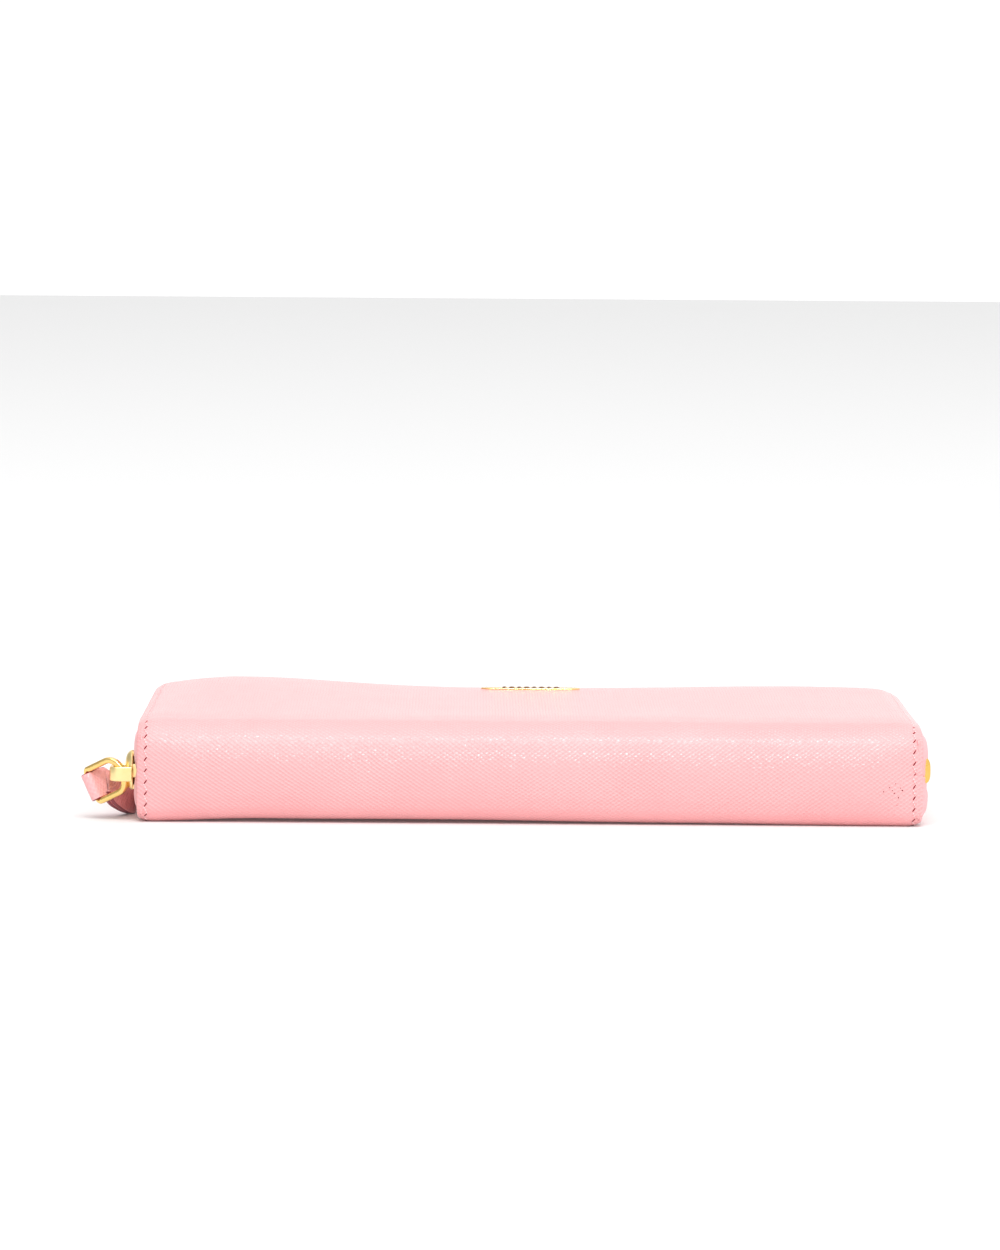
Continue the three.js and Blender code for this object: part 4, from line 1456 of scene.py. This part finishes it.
def build_specks():
    """Low uneven discs on the spine's lower half."""
    points, faces = [], []
    for k, (x, z) in enumerate(SPECKS):
        s = MID - z
        up = LOWER.outward(x, s)
        spot = LOWER.point(x, s)
        side = unit(np.cross(up, (0.0, 0.0, 1.0)))
        top = np.cross(side, up)
        radius = 0.15 + 0.05 * math.sin(3.0 * k)
        first = len(points)
        points.append(spot + up * 0.03)
        for q in range(8):
            a = math.radians(45 * q)
            grow = radius * (1 + 0.25 * math.sin(2 * a + k))
            points.append(spot + side * (grow * math.cos(a)) + top * (grow * math.sin(a)) + up * 0.015)
        points.append(spot - up * 0.1)
        for q in range(8):
            q2 = (q + 1) % 8
            faces.append((first, first + 1 + q, first + 1 + q2))
            faces.append((first + 9, first + 1 + q2, first + 1 + q))
    made = mesh_object("spine_specks", points, faces, SPECK)
    face_outwards(made)
    return made


specks = build_specks()
bend_lower(specks)

# ---- inside leather and cloth ----------------------------------------------------------
def calf_leather(name, color, dark):
    """Smooth leather: fine pores, shallow creases and a cloudy finish."""
    made, tree, shader = material(name)
    g = Graph(tree)
    place = g.place()
    cells = g.node("ShaderNodeTexVoronoi", feature="DISTANCE_TO_EDGE")
    g.link(place, cells.inputs["Vector"])
    cells.inputs["Scale"].default_value = 1500.0
    pebble = g.ramp(cells.outputs["Distance"], 0.0, 0.35)
    creases = g.ramp(g.noise(place, 120.0, 5.0, 0.65), 0.45, 0.6)
    cloud = g.ramp(g.noise(place, 28.0, 3.0), 0.35, 0.7)
    patches = g.math("MULTIPLY_ADD", cloud, 0.4, 0.6)
    tone = g.math("MULTIPLY", patches, g.math("MULTIPLY_ADD", pebble, 0.3, 0.7))
    g.link(g.mix(tone, dark, color), shader.inputs["Base Color"])
    height = g.math("MULTIPLY_ADD", creases, 0.6, pebble)
    g.link(g.bump(height, 0.05 * MM), shader.inputs["Normal"])
    g.link(g.ramp(cloud, 0.0, 1.0, 0.52, 0.42), shader.inputs["Roughness"])
    shader.inputs["Specular IOR Level"].default_value = 0.35
    return made


def lining_cloth(name, color, dark):
    """A fine twill."""
    made, tree, shader = material(name)
    g = Graph(tree)
    place = g.place()
    x, y, z = g.split(place)
    turns = 2 * math.pi / (0.45 * MM)
    across = g.math("ADD", x, g.math("MULTIPLY", g.math("ADD", y, z), 0.9))
    rib = g.wave(across, turns)
    cut = g.wave(x, turns * 1.7)
    weave = g.math("MULTIPLY_ADD", cut, 0.35, g.math("MULTIPLY", rib, 0.65))
    slub = g.ramp(g.noise(place, 300.0, 3.0), 0.4, 0.7)
    tone = g.math("MULTIPLY_ADD", slub, 0.25, g.math("MULTIPLY", weave, 0.75))
    g.link(g.mix(tone, dark, color), shader.inputs["Base Color"])
    g.link(g.bump(weave, 0.05 * MM), shader.inputs["Normal"])
    shader.inputs["Roughness"].default_value = 0.82
    shader.inputs["Sheen Weight"].default_value = 0.2
    return made


CALF = calf_leather("calf_pink", rgba(246, 184, 186), rgba(232, 156, 160))
CLOTH = lining_cloth("pocket_twill", rgba(238, 172, 178), rgba(208, 134, 142))


def inner_panel(name, low, high, up, paint, corner, ease, hem=0.0):
    """A thin panel with rounded far corners. up is the way its face looks, +1 or -1 along Z, ease
    is the height of its slow waves, and hem the width of a turned edge at its mouth."""
    cols, rows = 71, 34
    thick = high[2] - low[2]
    r = thick / 2
    half = high[0] - r
    y0, y1 = low[1] + r, high[1] - r
    corner = max(corner - r, 0.01)
    q = np.linspace(0, 1, rows)
    q = 1 - (1 - q) ** 1.6
    ys = y0 + (y1 - y0) * q
    grid = np.zeros((rows, cols, 3))
    for i, y in enumerate(ys):
        over = max(0.0, y - (y1 - corner))
        reach = half - (corner - math.sqrt(max(corner**2 - over**2, 0.0)))
        xs = np.linspace(-reach, reach, cols)
        wave = ease * np.sin(xs / 11.0 + y / 9.0) * np.sin(y / 14.0 + 1.0)
        turned = 0.0
        if hem:
            d = y1 - y
            turned = 0.12 * smooth((hem - d) / 0.6) - 0.07 * math.exp(-(((d - hem + 0.9) / 0.35) ** 2))
        grid[i, :, 0] = xs
        grid[i, :, 1] = y
        grid[i, :, 2] = (high[2] if up > 0 else low[2]) + up * (wave + turned)
    return sheet_solid(name, grid, grid[:, :, :2].copy(), thick, paint, flip=up < 0, rim_steps=4)


def stitch_line(points, faces, uvs, a, b, normal, pitch=2.4, radius=0.16):
    """A straight row of stitches from a to b, on a face with this normal."""
    a, b, normal = (np.asarray(v, float) for v in (a, b, normal))
    way = unit(b - a)
    length = np.linalg.norm(b - a)
    count = max(1, int(length / pitch))
    step = length / count
    for k in range(count):
        start = a + way * (k * step + step * 0.15) + normal * 0.03
        capsule_between(points, faces, uvs, start, start + way * (step * 0.7), radius)


HEM = 3.0
for side, up, body in (("back", 1, "back_cover"), ("front", -1, "front_cover")):
    node = f"lining_{side}"
    low, high = node_box(node)
    lining = inner_panel(f"{node}_calf", low, high, up, CALF, corner=CORNER - 2, ease=0.03)
    stands_for(lining, body, node)
    lines = ([], [], [])
    for row in range(1, 5):
        node = f"card_pocket_{side}_{row}"
        low, high = node_box(node)
        piece = inner_panel(f"{node}_calf", low, high, up, CALF, corner=1.0, hem=HEM, ease=0.03)
        stands_for(piece, body, node)
        face = high[2] if up > 0 else low[2]
        mouth = high[1] - HEM + 0.9
        edge = high[0] - 1.6
        n = (0, 0, up)
        stitch_line(*lines, (-edge, mouth, face), (edge, mouth, face), n)
        seam_to = high[1] - 13.0 if row < 4 else low[1] + 3.0
        for x in (-edge, 0.0, edge):
            stitch_line(*lines, (x, seam_to, face), (x, mouth, face), n)
    row_thread = thread_object(f"card_stitching_{side}", lines)
    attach(row_thread, body)


# ---- spine lining ----------------------------------------------------------------------
def build_spine_lining():
    """A leather strip that curls out towards both covers."""
    low, high = node_box("lining_spine")
    cols, rows = 71, 22
    grid = np.zeros((rows, cols, 3))
    half = high[0] - 0.2
    z0, z1 = low[2] - 0.3, high[2] + 0.3
    for i in range(rows):
        q = i / (rows - 1)
        xs = np.linspace(-half, half, cols)
        curl = 0.7 * (abs(2 * q - 1) ** 6)
        grid[i, :, 0] = xs
        grid[i, :, 1] = high[1] + curl + 0.06 * np.sin(xs / 9.0) * math.sin(math.pi * q)
        grid[i, :, 2] = z0 + (z1 - z0) * q
    thick = high[1] - low[1]
    return sheet_solid("lining_spine_calf", grid, grid[:, :, [0, 2]], thick, CALF, True, rim_steps=4)


stands_for(build_spine_lining(), "spine", "lining_spine")


# ---- gussets ---------------------------------------------------------------------------
pouch_low, pouch_high = node_box("coin_pocket")
COIN_MID = (pouch_low[2] + pouch_high[2]) / 2


def build_gusset(node, side, lower):
    """A pleated leather side wall between a cover and the coin pocket, folded like a bellows."""
    low, high = node_box(node)
    pleats = 3
    per = 8
    cols = 46
    inner, outer = (low[0], high[0]) if side > 0 else (-high[0], -low[0])
    rows = pleats * per + 1
    z0 = low[2] + 0.3 if lower else COIN_MID + 1.1
    z1 = COIN_MID - 1.1 if lower else high[2] - 0.3
    grid = np.zeros((rows, cols, 3))
    for i in range(rows):
        q = i / (rows - 1)
        fold = smooth((1 - math.cos(2 * math.pi * pleats * q)) / 2)
        for j, y in enumerate(np.linspace(low[1], high[1], cols)):
            deep = 1 - 0.12 * math.sin(y / 11.0) * fold
            x = outer - 0.4 - (outer - inner - 0.8) * fold * deep
            grid[i, j] = (side * x, y, z0 + (z1 - z0) * q)
    uv = grid[:, :, [1, 2]] * (1, 6)
    made = sheet_solid(node + "_pleats", grid, uv, 0.45, CALF, flip=side < 0, rim_steps=3)
    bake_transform(made)
    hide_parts(node)


for side, word in ((-1, "left"), (1, "right")):
    build_gusset(f"gusset_lower_{word}", side, True)
    build_gusset(f"gusset_upper_{word}", side, False)

# ---- coin pocket -----------------------------------------------------------------------
def build_pouch():
    """Two cloth panels sewn to each other along the sides and the bottom."""
    made = []
    cols, rows = 81, 40
    thread = ([], [], [])
    inset = 0.35
    y0, y1 = pouch_low[1] + inset, pouch_high[1] - inset
    half = pouch_high[0] - inset
    tall = pouch_high[2] - COIN_MID
    xs = np.linspace(-1, 1, cols)
    xs = np.sign(xs) * (1 - (1 - np.abs(xs)) ** 1.25) * half
    for up in (1, -1):
        grid = np.zeros((rows, cols, 3))
        for i in range(rows):
            q = 1 - (1 - i / (rows - 1)) ** 1.2
            y = y0 + (y1 - y0) * q
            side_swell = 1 - np.clip((np.abs(xs) - half + 9.0) / 9.0, 0, 1) ** 2.2
            end_swell = 1 - max(0.0, 1 - (y - y0) / 9.0) ** 2.2
            full = 0.78 + (tall - 0.78) * side_swell * end_swell
            wrinkle = 0.12 * np.sin(xs / 7.0 + y / 13.0) * np.sin(y / 8.0)
            wrinkle = wrinkle * side_swell * end_swell
            hem = 0.1 * smooth((3.0 - (y1 - y)) / 0.6)
            grid[i, :, 0] = xs
            grid[i, :, 1] = y
            grid[i, :, 2] = COIN_MID + up * (full - 0.15 + wrinkle + hem)
        name = "coin_pocket_upper" if up > 0 else "coin_pocket_lower"
        uv = grid[:, :, :2].copy()
        made.append(sheet_solid(name, grid, uv, 0.65, CLOTH, flip=up < 0, rim_steps=4))
        near = half - 2.0
        flat = COIN_MID + up * 0.98
        n = (0, 0, up)
        stitch_line(*thread, (-near, y0 + 1.6, flat), (near, y0 + 1.6, flat), n)
        face = COIN_MID + up * (tall - 0.05)
        stitch_line(*thread, (-near + 10, y1 - 2.1, face), (near - 10, y1 - 2.1, face), n)
    made.append(thread_object("coin_pocket_stitching", thread))
    return made


pouch = build_pouch()
for piece in pouch:
    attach(piece, "spine")
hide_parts("coin_pocket")

# the pocket's zip: two woven tapes with teeth, end stops, slider, bail and pull
coin_low, coin_high = node_box("coin_zip_chain_lower")
COIN_Y = (coin_low[1] + coin_high[1]) / 2
COIN_SCALE = 0.62


def coin_teeth(name, upper):
    """A row of the same teeth as the main zip's, smaller."""
    points, faces = [], []
    pitch = TOOTH_PITCH * COIN_SCALE
    spots = np.arange(coin_low[0] + 1.0, coin_high[0] - 1.0, pitch / 2)
    sign = -1 if upper else 1
    for x in spots[(1 if upper else 0) :: 2]:
        first = len(points)
        tooth, tooth_faces = [], []
        add_tooth(tooth, tooth_faces, (0.0, 0.0), (1.0, 0.0), sign)
        for part in np.array(tooth) - (0.0, 0.0, ZIP_MID):
            points.append((x, COIN_Y, COIN_MID) + part * COIN_SCALE)
        faces += [tuple(first + c for c in f) for f in tooth_faces]
    return mesh_object(name, points, faces, GOLD_TEETH, smooth=False)


def coin_tape(name, node, up):
    """A flat woven tape from the pocket's mouth to the teeth."""
    low, high = node_box(node)
    cols, rows = 90, 6
    grid = np.zeros((rows, cols, 3))
    for i in range(rows):
        q = i / (rows - 1)
        xs = np.linspace(low[0], high[0], cols)
        near = low[2] if up > 0 else high[2]
        root = (high[2] + 0.3) if up > 0 else (low[2] - 0.3)
        grid[i, :, 0] = xs
        grid[i, :, 1] = high[1] + 0.05 * np.sin(xs / 6.0)
        grid[i, :, 2] = near + (root - near) * q
    thick = high[1] - low[1]
    return sheet_solid(name, grid, grid[:, :, [0, 2]], thick, TAPE, flip=up > 0, rim_steps=3)


for word, upper in (("lower", False), ("upper", True)):
    row = coin_teeth(f"coin_teeth_{word}", upper)
    strip = coin_tape(f"coin_tape_{word}", f"coin_zip_tape_{word}", 1 if upper else -1)
    stands_for(row, "spine", f"coin_zip_chain_{word}")
    stands_for(strip, "spine", f"coin_zip_tape_{word}")


def rounded_block(name, low, high, radius, paint):
    """A block that fills the box, with rounded edges."""
    outline = rounded_section(high[0] - low[0], high[2] - low[2], radius, 4)
    cx, cz = (high[0] + low[0]) / 2, (high[2] + low[2]) / 2
    points, faces = straight_solid([(cx + a, cz + b) for a, b in outline], low[1], high[1])
    made = mesh_object(name, points, faces, paint, smooth=False)
    return shade_smooth(bevelled(made, radius * 0.5, 3))


for word in ("left", "right"):
    low, high = node_box(f"coin_zip_stop_{word}")
    clamp = rounded_block(f"coin_stop_{word}", low, high, 0.6, GOLD)
    stands_for(clamp, "spine", f"coin_zip_stop_{word}")

coin_slider = build_slider("coin_slider_body", *node_box("coin_slider"), False, 0.55, 0.0)


def staple(name, low, high, strip, paint):
    """A strip bent into a flat hoop in plan, its two feet at the low Y side."""
    x0, x1 = low[0] + strip / 2, high[0] - strip / 2
    y0, y1 = low[1], high[1] - strip / 2
    r = min(0.9, (x1 - x0) / 2 - 0.05, y1 - y0 - 0.05)
    spots = [(x0, y) for y in np.linspace(y0, y1 - r, 4)]
    spots += arc(x0 + r, y1 - r, r, 180, 90, 7)[1:]
    spots += [(x, y1) for x in np.linspace(x0 + r, x1 - r, 4)[1:]]
    spots += arc(x1 - r, y1 - r, r, 90, 0, 7)[1:]
    spots += [(x1, y) for y in np.linspace(y1 - r, y0, 4)[1:]]
    z = (low[2] + high[2]) / 2
    return bent_strip(name, spots, z, high[2] - low[2], strip, strip * 0.35, paint)


bail = staple("coin_bail", *node_box("coin_slider_bridge"), 0.5, GOLD)
stands_for(coin_slider, "coin_slider", "coin_slider")
stands_for(bail, "coin_slider", "coin_slider_bridge")


def build_coin_ring():
    """A rounded wire loop through the bail and the end of the leather pull."""
    low, high = node_box("coin_pull_ring")
    y = (low[1] + high[1]) / 2
    wire = 0.62
    mid = (low[2] + high[2]) / 2
    half = (high[2] - low[2]) / 2 - wire / 2
    x0, x1 = low[0] + wire / 2, high[0] - wire / 2
    r = min(half, 1.2)
    loop = arc(x1 - r, mid + half - r, r, 0, 90, 7) + arc(x0 + r, mid + half - r, r, 90, 180, 7)
    loop += arc(x0 + r, mid - half + r, r, 180, 270, 7) + arc(x1 - r, mid - half + r, r, 270, 360, 7)
    spots = np.array([(x, y, z) for x, z in loop])
    ahead = unit(np.roll(spots, -1, 0) - np.roll(spots, 1, 0))
    deep = np.tile([0.0, 1.0, 0.0], (len(spots), 1))
    inward = np.cross(ahead, deep)
    section = rounded_section(wire, wire, 0.3)
    return sweep("coin_pull_wire", spots, deep, inward, section, GOLD, closed=True)


def build_coin_tab():
    """A flat leather pull by the wire, sewn round, with a rounded end."""
    low, high = node_box("coin_pull_tab")
    x0, x1 = low[0] - 0.6, high[0]
    half = (high[2] - low[2]) / 2
    mid = (high[2] + low[2]) / 2
    nose = half * 0.8
    angles = np.radians(np.linspace(-90, 90, 13))
    side = [(x1 - nose + nose * math.cos(a), half * math.sin(a)) for a in angles]
    waist = []
    for x in np.linspace(x1 - half, x0 + 0.2, 8):
        waist.append((x, half * (0.88 + 0.12 * ((x - x0) / (x1 - x0)) ** 2)))
    outline = side + waist + [(x0, half * 0.8), (x0, -half * 0.8)] + [(x, -z) for x, z in waist[::-1]]
    y0, y1 = low[1], high[1]
    points, faces = straight_solid([(x, mid + z) for x, z in outline], y0, y1)
    tab = mesh_object("coin_pull_leather", points, faces, CALF, smooth=False)
    tab = shade_smooth(bevelled(tab, 0.25, 3))
    thread = ([], [], [])
    for n_y, normal in ((y1, (0, 1, 0)), (y0, (0, -1, 0))):
        for z in (mid - half + 0.75, mid + half - 0.75):
            ends = (x0 + 1.0, n_y, z), (x1 - 1.4, n_y, z)
            stitch_line(*thread, *ends, normal, pitch=1.5, radius=0.11)
    return tab, thread_object("coin_pull_stitching", thread)


stands_for(build_coin_ring(), "coin_pull", "coin_pull_ring")
coin_tab, coin_tab_thread = build_coin_tab()
stands_for(coin_tab, "coin_pull", "coin_pull_tab")
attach(coin_tab_thread, "coin_pull")


# ---- boards ----------------------------------------------------------------------------
def board_material():
    """Grey-brown fibre board with dark flecks."""
    made, tree, shader = material("board_fibre")
    g = Graph(tree)
    place = g.place()
    fibres = g.ramp(g.noise(place, 700.0, 6.0, 0.7), 0.4, 0.65)
    flecks = g.ramp(g.noise(place, 1900.0, 2.0), 0.68, 0.74)
    base = g.mix(fibres, rgba(150, 136, 122), rgba(184, 170, 154))
    g.link(g.mix(flecks, base, rgba(96, 86, 78)), shader.inputs["Base Color"])
    g.link(g.bump(fibres, 0.06 * MM), shader.inputs["Normal"])
    shader.inputs["Roughness"].default_value = 0.92
    return made


BOARD = board_material()
for side, up, body, trim in (("back", 1, "back_cover", 2.0), ("front", -1, "front_cover", 4.0)):
    node = f"board_{side}"
    low, high = node_box(node)
    low = low + (0, trim, 0)
    stiffener = inner_panel(f"{node}_fibre", low, high, up, BOARD, corner=CORNER - 2, ease=0.0)
    stands_for(stiffener, body, node)


def build_spine_board():
    """A flat stiffener behind the spine's leather."""
    low, high = node_box("spine_reinforcement")
    grid = np.zeros((14, 60, 3))
    for i, z in enumerate(np.linspace(low[2] + 0.6, high[2] - 2.4, 14)):
        grid[i, :, 0] = np.linspace(low[0] + 0.8, high[0] - 0.8, 60)
        grid[i, :, 1] = high[1]
        grid[i, :, 2] = z
    thick = high[1] - low[1]
    return sheet_solid("spine_board_fibre", grid, grid[:, :, [0, 2]], thick, BOARD, True, rim_steps=3)


stands_for(build_spine_board(), "spine", "spine_reinforcement")

# ---- floor -----------------------------------------------------------------------------
FLOOR_HALF = 6000.0
floor_paint, _, floor_shader = material("floor_white")
floor_shader.inputs["Base Color"].default_value = (0.8, 0.8, 0.8, 1)
floor_shader.inputs["Roughness"].default_value = 0.9
floor_shader.inputs["Specular IOR Level"].default_value = 0.1
floor_shader.inputs["Emission Color"].default_value = (1, 1, 1, 1)
floor_shader.inputs["Emission Strength"].default_value = 0.04
corners = ((-1, -1, 0), (1, -1, 0), (1, 1, 0), (-1, 1, 0))
corners = [[c * FLOOR_HALF for c in corner] for corner in corners]
floor = mesh_object("floor", corners, [(0, 1, 2, 3)], floor_paint, smooth=False)
floor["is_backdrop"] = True

low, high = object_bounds()
